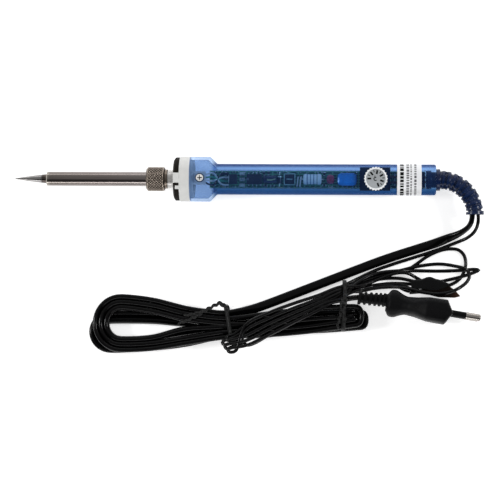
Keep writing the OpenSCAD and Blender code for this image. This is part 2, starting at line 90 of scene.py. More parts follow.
# Tint of the handle's outer wall from its lower side (-Y) to its upper side, with painted shade: darker along
# the lower side and in a thin line near the upper edge; and its other tints
SHELL_TINTS_PAINTED_SHADE = [
    (0, (0.30, 0.42, 0.55)), (0.02, (0.11, 0.24, 0.43)), (0.12, (0.12, 0.26, 0.46)),
    (0.2, (0.20, 0.36, 0.54)), (0.26, (0.37, 0.53, 0.71)), (0.34, (0.46, 0.62, 0.80)),
    (0.74, (0.46, 0.62, 0.80)), (0.84, (0.43, 0.58, 0.80)), (0.90, (0.45, 0.60, 0.82)),
    (0.93, (0.21, 0.28, 0.44)), (0.985, (0.19, 0.25, 0.42)), (1, (0.45, 0.52, 0.62))]
INNER_TINT = (0.93, 0.95, 0.97)
BELL_TINT = (0.71, 0.80, 0.91)
SHELL_GLOSS = (0.10, 0.22, 0.55)


# ---------------------------------------------------------------- shader nodes
def feed(tree, node, values):
    """Sets a node's inputs to numbers and colours, or links them to the sockets given."""
    for name, value in values.items():
        if isinstance(value, bpy.types.NodeSocket):
            tree.links.new(value, node.inputs[name])
        else:
            node.inputs[name].default_value = value


def add_node(tree, kind, *values, **settings):
    """New node: settings are properties or named inputs, and values fill its first inputs in order."""
    made = tree.nodes.new("ShaderNode" + kind)
    for key, value in settings.items():
        if hasattr(made, key):
            setattr(made, key, value)
        else:
            feed(tree, made, {key: value})
    feed(tree, made, dict(enumerate(values)))
    return made


def ramp(tree, source, stops):
    made = add_node(tree, "ValToRGB", source)
    while len(made.color_ramp.elements) < len(stops):
        made.color_ramp.elements.new(0.5)
    for element, (place, colour) in zip(made.color_ramp.elements, stops):
        element.position = place
        element.color = (*colour, 1)
    return made.outputs["Color"]


def grey(level):
    return level, level, level


def object_coords(tree, stretch=(1, 1, 1)):
    place = tree.nodes.new("ShaderNodeTexCoord").outputs["Object"]
    return add_node(tree, "Mapping", Vector=place, Scale=stretch).outputs["Vector"]


def object_axis(tree, axis):
    return add_node(tree, "SeparateXYZ", object_coords(tree)).outputs[axis]


def off_axis(tree):
    """Distance from the iron's axis."""
    shifted = add_node(tree, "VectorMath", object_coords(tree), mm(0, 0, AXIS_Z), operation="SUBTRACT")
    across = add_node(tree, "VectorMath", shifted.outputs["Vector"], (0, 1, 1), operation="MULTIPLY")
    return add_node(tree, "VectorMath", across.outputs["Vector"], operation="LENGTH").outputs["Value"]


def measured(tree, source, start, end):
    """0 to 1 while source goes from start to end, both in mm."""
    return add_node(tree, "MapRange", source, start * MM, end * MM).outputs["Result"]


def mixed_colour(tree, factor, low, high):
    """Blend of two colours or colour sockets."""
    low, high = ((*c, 1) if isinstance(c, tuple) else c for c in (low, high))
    return add_node(tree, "Mix", data_type="RGBA", Factor=factor, A=low, B=high).outputs["Result"]


def blank(name):
    mat = bpy.data.materials.new(name)
    mat.use_nodes = True
    return mat, mat.node_tree, mat.node_tree.nodes["Principled BSDF"]


# ---------------------------------------------------------------- camera, lights and bench
def add_camera():
    data = bpy.data.cameras.new("camera")
    camera = bpy.data.objects.new("camera", data)
    bpy.context.scene.collection.objects.link(camera)
    data.lens = CAMERA_LENS
    data.clip_start = 0.01
    camera.location = CAMERA_AT
    view = (CAMERA_AIM - CAMERA_AT).normalized()
    level_right = view.cross(Vector((0, 1, 0))).normalized()
    right = Matrix.Rotation(-math.radians(CAMERA_ROLL), 3, view) @ level_right
    up = right.cross(view)
    camera.rotation_euler = Matrix((right, up, -view)).transposed().to_euler()
    bpy.context.scene.camera = camera


def add_lights():
    for name, (place, size, watts) in LIGHTS.items():
        data = bpy.data.lights.new(name, "AREA")
        data.shape = "RECTANGLE"
        data.size, data.size_y = size
        data.energy = watts
        light = bpy.data.objects.new(name, data)
        bpy.context.scene.collection.objects.link(light)
        light.location = place
        light.rotation_euler = (Vector(LIGHT_AIM) - light.location).to_track_quat("-Z", "Y").to_euler()


def add_world():
    """A dim studio, lighter towards both long sides, where the softboxes stand."""
    world = bpy.data.worlds.new("studio")
    world.use_nodes = True
    tree = world.node_tree
    place = tree.nodes.new("ShaderNodeTexCoord").outputs["Generated"]
    north = add_node(tree, "SeparateXYZ", place).outputs["Y"]
    share = add_node(tree, "Math", north, 0.5, 0.5, operation="MULTIPLY_ADD").outputs["Value"]
    levels = ramp(tree, share, [(stop, grey(level)) for stop, level in STUDIO_LEVELS])
    feed(tree, tree.nodes["Background"], {"Color": levels, "Strength": 1.0})
    bpy.context.scene.world = world
    bpy.context.scene.view_settings.view_transform = "Standard"


def add_bench():
    """A lit white sheet, as on a light table, so that shadows stay faint."""
    mesh = bpy.data.meshes.new("bench")
    corners = [(x * BENCH_HALF, y * BENCH_HALF, 0) for x, y in ((-1, -1), (1, -1), (1, 1), (-1, 1))]
    mesh.from_pydata(corners, [], [(0, 1, 2, 3)])
    bench = bpy.data.objects.new("bench", mesh)
    bpy.context.scene.collection.objects.link(bench)
    bench.location.z = -BENCH_DROP
    mat, tree, shader = blank("bench_white")
    feed(tree, shader, {"Base Color": (*grey(0.85), 1), "Roughness": 0.95, "Specular IOR Level": 0.0,
                        "Emission Color": (1, 1, 1, 1), "Emission Strength": 0.6})
    mesh.materials.append(mat)


add_camera()
add_world()
add_bench()
add_lights()


# ---------------------------------------------------------------- materials
def grain_of(tree, vector, shader, rough, grain, bump):
    """Fine noise for roughness and bump; grain is its size in metres."""
    fine = add_node(tree, "TexNoise", Vector=vector, Scale=1 / grain, Detail=3.0).outputs["Fac"]
    low, high = max(0.03, rough - 0.08), min(1, rough + 0.1)
    relief = add_node(tree, "Bump", Height=fine, Strength=bump, Distance=grain * 0.5)
    feed(tree, shader, {"Roughness": ramp(tree, fine, [(0.3, grey(low)), (0.75, grey(high))]),
                        "Normal": relief.outputs["Normal"]})


def moulded(name, colour, rough, grain=0.0004, bump=0.15, vary=0.25, metallic=0.0, coat=0.0,
            stretch=(1, 1, 1), specular=0.5):
    """Moulded or turned surface: mottled colour, uneven roughness and a fine grain."""
    mat, tree, shader = blank(name)
    vector = object_coords(tree, stretch)
    broad = add_node(tree, "TexNoise", Vector=vector, Scale=140.0, Detail=4.0, Roughness=0.6)
    dark = tuple(c * (1 - vary) for c in colour)
    light = tuple(min(1, c * (1 + vary)) for c in colour)
    shades = ramp(tree, broad.outputs["Fac"], [(0.3, dark), (0.7, light)])
    grain_of(tree, vector, shader, rough, grain, bump)
    feed(tree, shader, {"Base Color": shades, "Metallic": metallic, "Specular IOR Level": specular})
    if coat:
        feed(tree, shader, {"Coat Weight": coat, "Coat Roughness": 0.12})
    return mat


def heated_steel(name, start, end, stops, rough, brush):
    """Brushed metal whose colour changes from start to end along X, as heat leaves it."""
    mat, tree, shader = blank(name)
    brushed = object_coords(tree, brush)
    noise = add_node(tree, "TexNoise", Vector=brushed, Scale=1.0, Detail=5.0, Roughness=0.7)
    streaks = noise.outputs["Fac"]
    colour = ramp(tree, measured(tree, object_axis(tree, "X"), start, end), stops)
    tones = ramp(tree, streaks, [(0.3, (0.45, 0.43, 0.42)), (0.7, (1, 1, 1))])
    worn = add_node(tree, "Mix", data_type="RGBA", blend_type="MULTIPLY", Factor=0.55, A=colour, B=tones)
    relief = add_node(tree, "Bump", Height=streaks, Strength=0.2, Distance=0.00004)
    levels = ramp(tree, streaks, [(0.2, grey(rough + 0.12)), (0.8, grey(rough - 0.06))])
    feed(tree, shader, {"Base Color": worn.outputs["Result"], "Roughness": levels,
                        "Normal": relief.outputs["Normal"], "Metallic": 1.0})
    return mat


def knurled_steel(name, stops, low, high, rough):
    """Turned steel that is dark in the bottom of its knurl: low and high are distances from the axis."""
    mat, tree, shader = blank(name)
    grain_of(tree, object_coords(tree), shader, rough, 0.0003, 0.4)
    colour = ramp(tree, measured(tree, off_axis(tree), low, high), stops)
    feed(tree, shader, {"Base Color": colour, "Metallic": 0.95})
    return mat


def clear_plastic():
    """Tinted clear moulding: a gloss skin over a tint with painted shade, deeper along the handle's lower
    side and in a thin line near its upper edge.
    """
    mat, tree, shader = blank("clear_blue")
    # Painted shade: the outer wall's tint darkens by height, along the handle's lower side and in a thin line
    # near its upper edge.
    outer = ramp(tree, measured(tree, object_axis(tree, "Y"), -SHELL_R, SHELL_R), SHELL_TINTS_PAINTED_SHADE)
    handle = mixed_colour(tree, measured(tree, off_axis(tree), 6.3, 7.2), INNER_TINT, outer)
    past_bell = measured(tree, object_axis(tree, "X"), HANDLE_FRONT - 2.5, HANDLE_FRONT - 0.5)
    seen = add_node(tree, "BsdfTransparent", mixed_colour(tree, past_bell, BELL_TINT, handle))
    feed(tree, shader, {"Base Color": (*SHELL_GLOSS, 1)})
    grain_of(tree, object_coords(tree), shader, 0.10, 0.0016, 0.03)
    facing = add_node(tree, "LayerWeight", Blend=0.5).outputs["Facing"]
    sheen = add_node(tree, "Math", facing, 4.0, operation="POWER").outputs["Value"]
    share = add_node(tree, "Math", sheen, 0.45, 0.05, operation="MULTIPLY_ADD").outputs["Value"]
    mix = add_node(tree, "MixShader", share, seen.outputs["BSDF"], shader.outputs["BSDF"])
    feed(tree, tree.nodes["Material Output"], {"Surface": mix.outputs["Shader"]})
    return mat


def board_mask():
    """Solder mask with lighter copper runs under it."""
    mat, tree, shader = blank("board_green")
    runs = add_node(tree, "TexBrick", Vector=object_coords(tree), Scale=170.0, offset=0.37, squash=1.6)
    feed(tree, runs, {"Color1": (0.012, 0.075, 0.04, 1), "Color2": (0.03, 0.13, 0.065, 1),
                      "Mortar": (0.14, 0.40, 0.22, 1), "Mortar Size": 0.045})
    feed(tree, shader, {"Base Color": runs.outputs["Color"]})
    grain_of(tree, object_coords(tree), shader, 0.3, 0.0006, 0.1)
    return mat


def banded(name, body, bands):
    """Lacquered part with painted bands; a band is its place along X, its width and its colour."""
    mat, tree, shader = blank(name)
    along, colour = object_axis(tree, "X"), body
    for middle, width, paint in bands:
        on_band = add_node(tree, "Math", along, middle * MM, width * MM / 2, operation="COMPARE")
        colour = mixed_colour(tree, on_band.outputs["Value"], colour, paint)
    feed(tree, shader, {"Base Color": colour})
    grain_of(tree, object_coords(tree), shader, 0.28, 0.0006, 0.08)
    return mat


PVC = moulded("pvc_black", (0.0012, 0.0012, 0.0014), 0.16, grain=0.0009, bump=0.04, specular=0.15)
PVC_THIN = moulded("pvc_thin", (0.0015, 0.0015, 0.0018), 0.2, grain=0.0009, bump=0.04, specular=0.22)
PLUG = moulded("plug_pvc", (0.004, 0.004, 0.0045), 0.45, grain=0.0003, bump=0.35, specular=0.07)
GRIP = moulded("grip_vinyl", (0.0015, 0.0015, 0.0018), 0.3, grain=0.0005, bump=0.3, specular=0.16)
TIE = moulded("tie_paper", (0.008, 0.008, 0.008), 0.45, grain=0.0004, bump=0.3, specular=0.2)
BOOT = moulded("boot_pvc", (0.0025, 0.012, 0.052), 0.24, grain=0.0005, bump=0.2, specular=0.3)
BARREL_STOPS = [(0, (0.50, 0.47, 0.42)), (0.03, (0.24, 0.215, 0.20)), (0.5, (0.27, 0.235, 0.225)),
                (1, (0.31, 0.28, 0.27))]
TIP_STOPS = [(0, (0.34, 0.33, 0.32)), (0.3, (0.42, 0.41, 0.40)), (0.79, (0.36, 0.35, 0.35)),
             (0.845, (0.09, 0.08, 0.075)), (0.93, (0.12, 0.10, 0.09)), (1, (0.22, 0.195, 0.18))]
STEEL = heated_steel("barrel_steel", BARREL_LOW.x, BARREL_HIGH.x, BARREL_STOPS, 0.14, (60, 2600, 2600))
TIP = heated_steel("tip_plate", SHELL_LOW.x - 97.3, BARREL_LOW.x + 0.4, TIP_STOPS, 0.16, (400, 900, 900))
NUT_STOPS = [(0.25, (0.20, 0.165, 0.138)), (0.42, (0.02, 0.016, 0.013)), (0.62, (0.03, 0.024, 0.02)),
             (0.9, (0.34, 0.285, 0.24))]
NUT = knurled_steel("nut_steel", NUT_STOPS, NUT_R - 0.9, NUT_R, 0.32)
NECK = moulded("neck_nickel", (0.60, 0.585, 0.57), 0.34, grain=0.0003, metallic=0.6, stretch=(1, 4, 4))
RESIN_DARK = moulded("resin_dark", (0.009, 0.007, 0.005), 0.65, grain=0.0006, bump=0.3, specular=0.1)
RESIN_WHITE = moulded("resin_white", (0.70, 0.70, 0.685), 0.55, grain=0.0008, bump=0.2, vary=0.05)
SHELL = clear_plastic()
CHROME = moulded("screw_chrome", (0.86, 0.86, 0.85), 0.3, grain=0.0005, metallic=0.4, vary=0.08)
BOARD = board_mask()
TIN = moulded("tinned_pad", (0.70, 0.76, 0.70), 0.3, metallic=0.5, vary=0.15)
SOLDER = moulded("solder", (0.62, 0.64, 0.63), 0.25, metallic=0.8, vary=0.2)
EPOXY = moulded("epoxy_black", (0.016, 0.016, 0.02), 0.4, bump=0.2)
PALE_FRAME = moulded("trimmer_frame", (0.42, 0.60, 0.55), 0.4, vary=0.15)
WIRE_WHITE = moulded("wire_white", (0.80, 0.80, 0.78), 0.3, vary=0.08)
WIRE_GREEN = moulded("wire_green", (0.10, 0.42, 0.24), 0.3)
WIRE_BLACK = moulded("wire_black", (0.012, 0.012, 0.014), 0.35)
WIRE_BROWN = moulded("wire_brown", (0.16, 0.07, 0.04), 0.32)
RESISTOR = banded("resistor_lacquer", (0.86, 0.90, 0.88), [
    (45.6, 0.55, (0.20, 0.23, 0.32)), (47.4, 0.5, (0.25, 0.30, 0.38)), (49.2, 0.5, (0.20, 0.22, 0.30)),
    (51, 0.45, (0.36, 0.33, 0.25))])
RED_FILM = moulded("red_dip", (0.42, 0.02, 0.05), 0.22, grain=0.0008, bump=0.2, coat=0.6)
BLUE_FILM = moulded("blue_dip", (0.015, 0.30, 0.80), 0.2, grain=0.0016, bump=0.6, coat=0.8)
CAN = moulded("capacitor_sleeve", (0.02, 0.02, 0.045), 0.25, coat=0.5)
# Part sleeve stripe, part painted highlight: the light colour of the bowed band along the top of the timing
# capacitor.
CAN_BAND_AND_HIGHLIGHT = moulded("capacitor_band_and_highlight", (0.40, 0.45, 0.26), 0.35)
POT_METAL = moulded("pot_metal", (0.22, 0.25, 0.32), 0.4, metallic=0.9)
POCKET = moulded("pocket_navy", (0.002, 0.014, 0.05), 0.4, specular=0.2)
BRASS = moulded("shaft_brass", (0.70, 0.56, 0.32), 0.3, metallic=1)
DIAL_RIM = moulded("dial_rim", (0.90, 0.92, 0.94), 0.4, vary=0.04)
DIAL_FACE = moulded("dial_face", (0.36, 0.38, 0.40), 0.5, vary=0.08, grain=0.0003, bump=0.3)
INK = moulded("ink_black", (0.006, 0.006, 0.006), 0.6, specular=0.1)
INK_GREY = moulded("ink_grey", (0.13, 0.13, 0.14), 0.5)
LABEL = moulded("label_film", (0.86, 0.87, 0.89), 0.38, grain=0.0009, bump=0.08, vary=0.04)
CERAMIC = moulded("heater_ceramic", (0.78, 0.76, 0.70), 0.6, vary=0.1)
NICKEL = moulded("pin_nickel", (0.38, 0.355, 0.33), 0.2, metallic=1, vary=0.15, stretch=(1, 3, 3))
JAW_STOPS = [(0, (0.014, 0.012, 0.011)), (0.79, (0.018, 0.013, 0.011)), (0.92, (0.07, 0.036, 0.027)),
             (1, (0.12, 0.068, 0.05))]
JAW = heated_steel("jaw_plate", 102, 129.5, JAW_STOPS, 0.34, (300, 500, 500))
SPRING = moulded("spring_wire", (0.42, 0.42, 0.42), 0.3, metallic=1)

CAD_LOOKS = {
    "soldering_tip": TIP, "tip_barrel": STEEL, "heater_rod": CERAMIC, "threaded_neck": NECK,
    "insulator_disc": RESIN_DARK, "front_collar": RESIN_WHITE, "handle_shell": SHELL,
    "circuit_board": BOARD, "terminal_pads": TIN, "potentiometer_body": POT_METAL, "dial_bezel": POCKET,
    "dial_shaft": BRASS, "rating_label": LABEL, "supply_wires": WIRE_BROWN, "plug_pins": NICKEL,
    "pin_sleeves": PLUG, "clip_pin": NICKEL, "clip_spring": SPRING, "clip_sleeve": GRIP}
for node, material in CAD_LOOKS.items():
    for held in bpy.data.objects[node].material_slots:
        held.material = material


# ---------------------------------------------------------------- mesh helpers
def lofted(rings, loop=False):
    """Skin over rings with equal numbers of points. A loop joins its last ring to its first."""
    n = len(rings[0])
    verts = [Vector(p) for ring in rings for p in ring]
    faces = []
    for i in range(len(rings) if loop else len(rings) - 1):
        a, b = i * n, (i + 1) % len(rings) * n
        faces += [(a + k, a + (k + 1) % n, b + (k + 1) % n, b + k) for k in range(n)]
    if not loop:
        faces.append(tuple(range(n - 1, -1, -1)))
        faces.append(tuple(range(len(verts) - n, len(verts))))
    return verts, faces


def placed(shape, matrix):
    verts, faces = shape
    return [matrix @ v for v in verts], faces


def circle(sides):
    return [2 * math.pi * k / sides for k in range(sides)]


def lathe(profile, sides=32, loop=False, extra=None):
    """Round about local X. profile holds x and radius, and extra(x, angle) adds to the radius."""
    rings = []
    for x, r in profile:
        reach = [(a, r + (extra(x, a) if extra else 0)) for a in circle(sides)]
        rings.append([(x, far * math.sin(a), far * math.cos(a)) for a, far in reach])
    return lofted(rings, loop)


def on_axis(shape):
    return placed(shape, Matrix.Translation((0, 0, AXIS_Z)))


def towards(place, direction):
    """Puts local X along direction, starting at place."""
    turn = Vector((1, 0, 0)).rotation_difference(Vector(direction)).to_matrix().to_4x4()
    return Matrix.Translation(place) @ turn


def block(low, high, round_by=0.2, segments=2):
    """Block with rounded edges."""
    low, high = Vector(low), Vector(high)
    bm = bmesh.new()
    bmesh.ops.create_cube(bm, size=1)
    for v in bm.verts:
        v.co = Vector(((low[i] + high[i]) / 2 + v.co[i] * (high[i] - low[i]) for i in range(3)))
    bmesh.ops.bevel(bm, geom=bm.edges[:], offset=round_by, segments=segments, profile=0.5, affect="EDGES")
    bm.verts.index_update()
    shape = [v.co.copy() for v in bm.verts], [tuple(v.index for v in f.verts) for f in bm.faces]
    bm.free()
    return shape


def add_piece(name, parts, body="housing", stands_for=(), sharp=35):
    """One object from (shape, material) parts given in mm."""
    verts, faces, picks, materials = [], [], [], []
    for (part_verts, part_faces), material in parts:
        start = len(verts)
        verts += [Vector(v) * MM for v in part_verts]
        faces += [tuple(start + k for k in face) for face in part_faces]
        if material not in materials:
            materials.append(material)
        picks += [materials.index(material)] * len(part_faces)
    mesh = bpy.data.meshes.new(name)
    mesh.from_pydata(verts, [], faces)
    mesh.polygons.foreach_set("material_index", picks)
    for material in materials:
        mesh.materials.append(material)
    bm = bmesh.new()
    bm.from_mesh(mesh)
    bmesh.ops.recalc_face_normals(bm, faces=bm.faces[:])
    bm.to_mesh(mesh)
    bm.free()
    mesh.polygons.foreach_set("use_smooth", [True] * len(mesh.polygons))
    mesh.set_sharp_from_angle(angle=math.radians(sharp))
    obj = bpy.data.objects.new(name, mesh)
    bpy.context.scene.collection.objects.link(obj)
    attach(obj, body)
    if stands_for:
        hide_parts(*stands_for)
    return obj


def spline(points, step):
    """Centripetal Catmull-Rom through points (x, y, z, ...), sampled about every step."""
    def between(a, b, start, end):
        return a * ((end - t) / (end - start)) + b * ((t - start) / (end - start))

    pts = [Vector(p) for p in points]
    ends = [pts[0] * 2 - pts[1]] + pts + [pts[-1] * 2 - pts[-2]]
    out = []
    for i in range(1, len(ends) - 2):
        p0, p1, p2, p3 = ends[i - 1:i + 3]
        gaps = [max((b.xyz - a.xyz).length, 1e-6) ** 0.5 for a, b in ((p0, p1), (p1, p2), (p2, p3))]
        t1, t2, t3 = gaps[0], gaps[0] + gaps[1], gaps[0] + gaps[1] + gaps[2]
        count = max(1, round((p2.xyz - p1.xyz).length / step))
        for k in range(count):
            t = t1 + (t2 - t1) * k / count
            a1, a2, a3 = between(p0, p1, 0, t1), between(p1, p2, t1, t2), between(p2, p3, t2, t3)
            out.append(between(between(a1, a2, 0, t2), between(a2, a3, t1, t3), t1, t2))
    out.append(pts[-1].copy())
    return out


def oval(w, h, sides, power=2.0):
    """Cross-section: a superellipse w wide and h thick."""
    def bulged(value, size):
        return math.copysign(abs(value) ** (2 / power), value) * size / 2

    angles = [2 * math.pi * (k + 0.5) / sides for k in range(sides)]
    return [(bulged(math.cos(a), w), bulged(math.sin(a), h)) for a in angles]


def tube(path, section, side=None, loop=False):
    """Section carried along path. A point's fourth number is its twist in degrees, and 0 lies flat;
    side, where given, is the fixed direction of the section's width."""
    rings = []
    count = len(path)
    for i, p in enumerate(path):
        after = path[(i + 1) % count] if loop else path[min(i + 1, count - 1)]
        before = path[i - 1] if loop else path[max(i - 1, 0)]
        run = (after.xyz - before.xyz).normalized()
        across = (Vector(side) - run * run.dot(Vector(side))) if side else run.cross(Vector((0, 0, 1)))
        across.normalize()
        up = across.cross(run)
        turn = math.radians(p[3]) if len(p) > 3 else 0.0
        wide = across * math.cos(turn) + up * math.sin(turn)
        thin = up * math.cos(turn) - across * math.sin(turn)
        rings.append([p.xyz + wide * x + thin * y for x, y in section])
    return lofted(rings, loop)


def arc(cx, cy, radii, start, end, count, z_start, z_end, twist):
    """Points on a level arc, degrees from +X, with the height blended along it."""
    out = []
    for f in [k / count for k in range(count + 1)]:
        a = math.radians(start + (end - start) * f)
        z = z_start + (z_end - z_start) * f
        out.append((cx + radii[0] * math.cos(a), cy + radii[1] * math.sin(a), z, twist))
    return out


def level(points, x, ease=0.8):
    """Value at x of a line through points (x, value), with its corners rounded."""
    def plain(at):
        if at <= points[0][0]:
            return points[0][1]
        for (x0, v0), (x1, v1) in zip(points, points[1:]):
            if at <= x1:
                return v0 + (v1 - v0) * (at - x0) / (x1 - x0)
        return points[-1][1]
    taps = [plain(x + ease * k / 3) for k in range(-3, 4)]
    return sum(taps) / len(taps)


def steps(start, end, size):
    count = max(1, round((end - start) / size))
    return [start + (end - start) * k / count for k in range(count + 1)]


# ---------------------------------------------------------------- nut, screw and neck
def make_nut():
    """Knurled nut with a chamfered front, a plain rear step and its bore."""
    teeth, depth, helix = 26, 0.5, 1.95
    x0, x1, r = NUT_LOW.x, NUT_HIGH.x, NUT_R - 0.02
    knurl_start, knurl_end = x0 + 1.1, x1 - 2.3

    def knurl(x, a):
        if not knurl_start < x < knurl_end:
            return 0.0
        one = abs(math.cos(teeth * a / 2 + helix * x))
        two = abs(math.cos(teeth * a / 2 - helix * x))
        return depth * (min(one, two) ** 0.7 - 1.0)

    outside = [(x0, 4), (x0, r - 1), (x0 + 0.25, r - 0.75), (x0 + 0.8, r - 0.12), (x0 + 1, r)]
    outside += [(x, r) for x in steps(knurl_start, knurl_end, 0.2)]
    outside += [(x1 - 2.15, r), (x1 - 1.95, r - 0.15), (x1 - 1.45, r - 0.62), (x1 - 1.4, 5.35),
                (x1 - 0.1, 5.3), (x1, 5.2), (x1, 4.62)]
    inside = [(x0 + 1.4, 4.62), (x0 + 1.4, 3.8), (x0, 3.8)]
    shape = on_axis(lathe(outside + inside, 288, loop=True, extra=knurl))
    add_piece("knurled_nut", [(shape, NUT)], "nut", ["barrel_nut"], sharp=50)


def make_screw():
    """Pan-head screw with a cross recess, then painted shade round its head and in its cross."""
    radius = (SCREW_HIGH.x - SCREW_LOW.x) / 2
    middle = (SCREW_HIGH.x + SCREW_LOW.x) / 2
    top = SCREW_HIGH.z
    sides, count = 72, 18
    dome_drop, cross_half, cross_reach, cross_slope, cross_depth = 0.28, 0.32, 1.3, 0.12, 0.55

    def height(x, y):
        dome = -dome_drop * (math.hypot(x, y) / radius) ** 2
        arm = min(abs(x), abs(y)) - cross_half
        reach = max(abs(x), abs(y)) - cross_reach
        inside = max(0, min(1, -max(arm, reach) / cross_slope))
        return dome - cross_depth * inside

    rings = []
    for i in range(count + 1):
        r = max(0.02, radius * i / count)
        points = [(r * math.cos(a), r * math.sin(a)) for a in circle(sides)]
        rings.append([(middle + x, y, top + height(x, y)) for x, y in points])
    for r, drop in [(radius + 0.02, 0.45), (radius - 0.05, 1.1), (1.05, 1.15), (1.05, 4.6), (0.6, 5.1)]:
        rings.append([(middle + r * math.cos(a), r * math.sin(a), top - drop) for a in circle(sides)])
    add_piece("phillips_screw", [(lofted(rings), CHROME)], stands_for=["shell_screw"],
              sharp=40)
    # Painted shade, not real parts: a dark ring in the gap round the head stands for the shade in its
    # counterbore, and dark bars at the bottom of the cross stand for the shade in the recess.
    shade_ring_outline = [(0, 2.02), (0, 2.5), (0.75, 2.5), (0.75, 2.02)]
    ring = placed(lathe(shade_ring_outline, 48, loop=True), towards((middle, 0, top - 1.1), (0, 0, 1)))
    bars = [block((middle - a, -b, top - 0.7), (middle + a, b, top - 0.5), 0.05)
            for a, b in ((1.2, 0.26), (0.26, 1.2))]
    add_piece("screw_seat", [(ring, POCKET)] + [(bar, INK) for bar in bars])


# ---------------------------------------------------------------- board and its parts
def at_board(*values):
    x, y, z = values
    return Vector((x, y, BOARD_TOP + z))


def on_board(low, high, round_by, segments=2):
    return block(at_board(*low), at_board(*high), round_by, segments)


def board_wire(route, step, width, side):
    path = [Vector(p) + at_board(0, 0, 0) for p in spline(route, step)]
    return tube(path, oval(width, width, 10), side=side)


def standing(profile, sides, x, y, z):
    """Round part that stands on the board or on another part."""
    return placed(lathe(profile, sides), towards(at_board(x, y, z), (0, 0, 1)))


def lying(profile, sides, x, z):
    """Round part that lies along the board."""
    return placed(lathe(profile, sides), Matrix.Translation(at_board(x, 0, z)))


def pin_row(xs, y, size, high):
    """Small square tinned legs that stand in solder."""
    return [(on_board((x - size, y - size, 0), (x + size, y + size, high), 0.08), TIN) for x in xs]


def solder_dome(x, y, r):
    profile = [(0.02, r), (0.22 * r + 0.03, 0.94 * r), (0.5 * r + 0.04, 0.6 * r), (0.62 * r + 0.04, 0.1 * r)]
    return standing(profile, 10, x, y, 0)


def make_solder():
    """Joints along both edges of the board and at the terminals."""
    dice = random.Random(7)
    parts = []
    x = BOARD_LOW.x + 3
    while x < BOARD_HIGH.x - 14:
        for y in (-4.15, 4.1):
            if dice.random() < 0.72:
                parts.append((solder_dome(x + dice.uniform(-0.5, 0.5), y, dice.uniform(0.32, 0.52)), SOLDER))
        x += 1.9
    for y in (-3.2, 0, 3.2):
        parts.append((solder_dome(9.7, y, 0.8), TIN))
    add_piece("solder_joints", parts)


def make_small_parts():
    """Chip resistors and capacitors between the larger parts."""
    dice = random.Random(21)
    spots = [
        (-5.6, 2.6), (-5.2, -2.4), (-3.4, 0.4), (-1.6, 2.9), (-1.2, -3), (0.8, -0.6), (0.6, 3), (21.8, 3.3),
        (24.2, 3.5), (22.6, -3.3), (26.4, -3.4), (29.9, 3.7), (54.9, 3.1), (54.9, -3), (75.6, 2.4),
        (75.9, -2.2)]
    parts = []
    for x, y in spots:
        long_x = dice.random() < 0.5
        a, b = (0.95, 0.5) if long_x else (0.5, 0.95)
        parts.append((on_board((x - a, y - b, 0), (x + a, y + b, 0.5), 0.08), EPOXY))
        for s in (-1, 1):
            dx, dy = (s * 0.85, 0) if long_x else (0, s * 0.85)
            ex, ey = (0.2, 0.53) if long_x else (0.53, 0.2)
            low, high = (x + dx - ex, y + dy - ey, 0), (x + dx + ex, y + dy + ey, 0.54)
            parts.append((on_board(low, high, 0.07), TIN))
    add_piece("chip_parts", parts)


def make_lead_anchor():
    """Tail of the board and the block that holds the leads, ahead of the boot."""
    x0, x1 = BOARD_HIGH.x + 0.15, BOOT_LOW.x - 0.3
    plate = on_board((x0, -4.7, -1), (x1, 4.7, -0.15), 0.1)
    grip = on_board((x1 - 4.6, -4.2, -0.1), (x1 - 0.4, 4.2, 2.6), 0.5, 3)
    bars = [(on_board((x, -3.4, -0.2), (x + 1, 3.4, 0.05), 0.08), TIN) for x in (93, 95.2)]
    add_piece("lead_anchor", [(plate, BOARD), (grip, POCKET)] + bars)


def make_triac():
    body = on_board((2.6, -2.7, 0.6), (7, 2.7, 3.8), 0.35, 3)
    tab = on_board((2.3, -2.3, 0.55), (2.62, 2.3, 3.6), 0.08)
    parts = [(body, EPOXY), (tab, TIN)]
    for y in (-1.8, 0, 1.8):
        parts += pin_row([5.5], y, 0.3, 0.62)
    add_piece("triac_block", parts, stands_for=["heater_triac"])


def make_chip():
    body = on_board((12.2, -2.8, 0.6), (20.6, 2.8, 3.5), 0.3)
    notch = standing([(0, 0.7), (0.08, 0.6), (0.1, 0.05)], 20, 12.9, 0, 3.5)
    parts = [(body, EPOXY), (notch, INK_GREY)]
    for k in range(4):
        x = 13.35 + 2.2 * k
        for s in (-1, 1):
            for half, near, far, low in ((0.3, 2.75, 3.35, 1.5), (0.25, 3.25, 3.6, 0)):
                y0, y1 = sorted((s * near, s * far))
                parts.append((on_board((x - half, y0, low), (x + half, y1, 1.75), 0.06), TIN))
    add_piece("timer_chip", parts, stands_for=["control_chip"])


def make_timing_capacitor():
    x0, x1, r = 21.45, 28.75, 2.08
    profile = [(x0, 0.1), (x0, r - 0.5), (x0 + 0.15, r - 0.1), (x0 + 0.5, r), (x0 + 1.2, r),
               (x0 + 1.5, r - 0.28), (x0 + 1.8, r), (x1 - 0.4, r), (x1 - 0.1, r - 0.15), (x1, r - 0.5),
               (x1 - 0.05, 0.1)]
    can = lying(profile, 40, 0, 2.2)
    # Part sleeve stripe, part painted highlight: a light band bowed along the top of the can, where the can
    # shows a curved glint.
    band_and_glint = []
    for x in steps(x0 + 2, x1 - 0.6, 0.8):
        bow = 0.35 * math.sin(math.pi * (x - x0) / (x1 - x0))
        corners = [(-0.1 - bow, 0.015), (-0.1 - bow, 0.04), (0.25 - bow, 0.04), (0.25 - bow, 0.015)]
        ring = [(x, (r + lift) * math.sin(a), (r + lift) * math.cos(a)) for a, lift in corners]
        band_and_glint.append([Vector(p) + at_board(0, 0, 2.2) for p in ring])
    add_piece("electrolytic_can", [(can, CAN), (lofted(band_and_glint), CAN_BAND_AND_HIGHLIGHT)],
              stands_for=["timing_capacitor"])


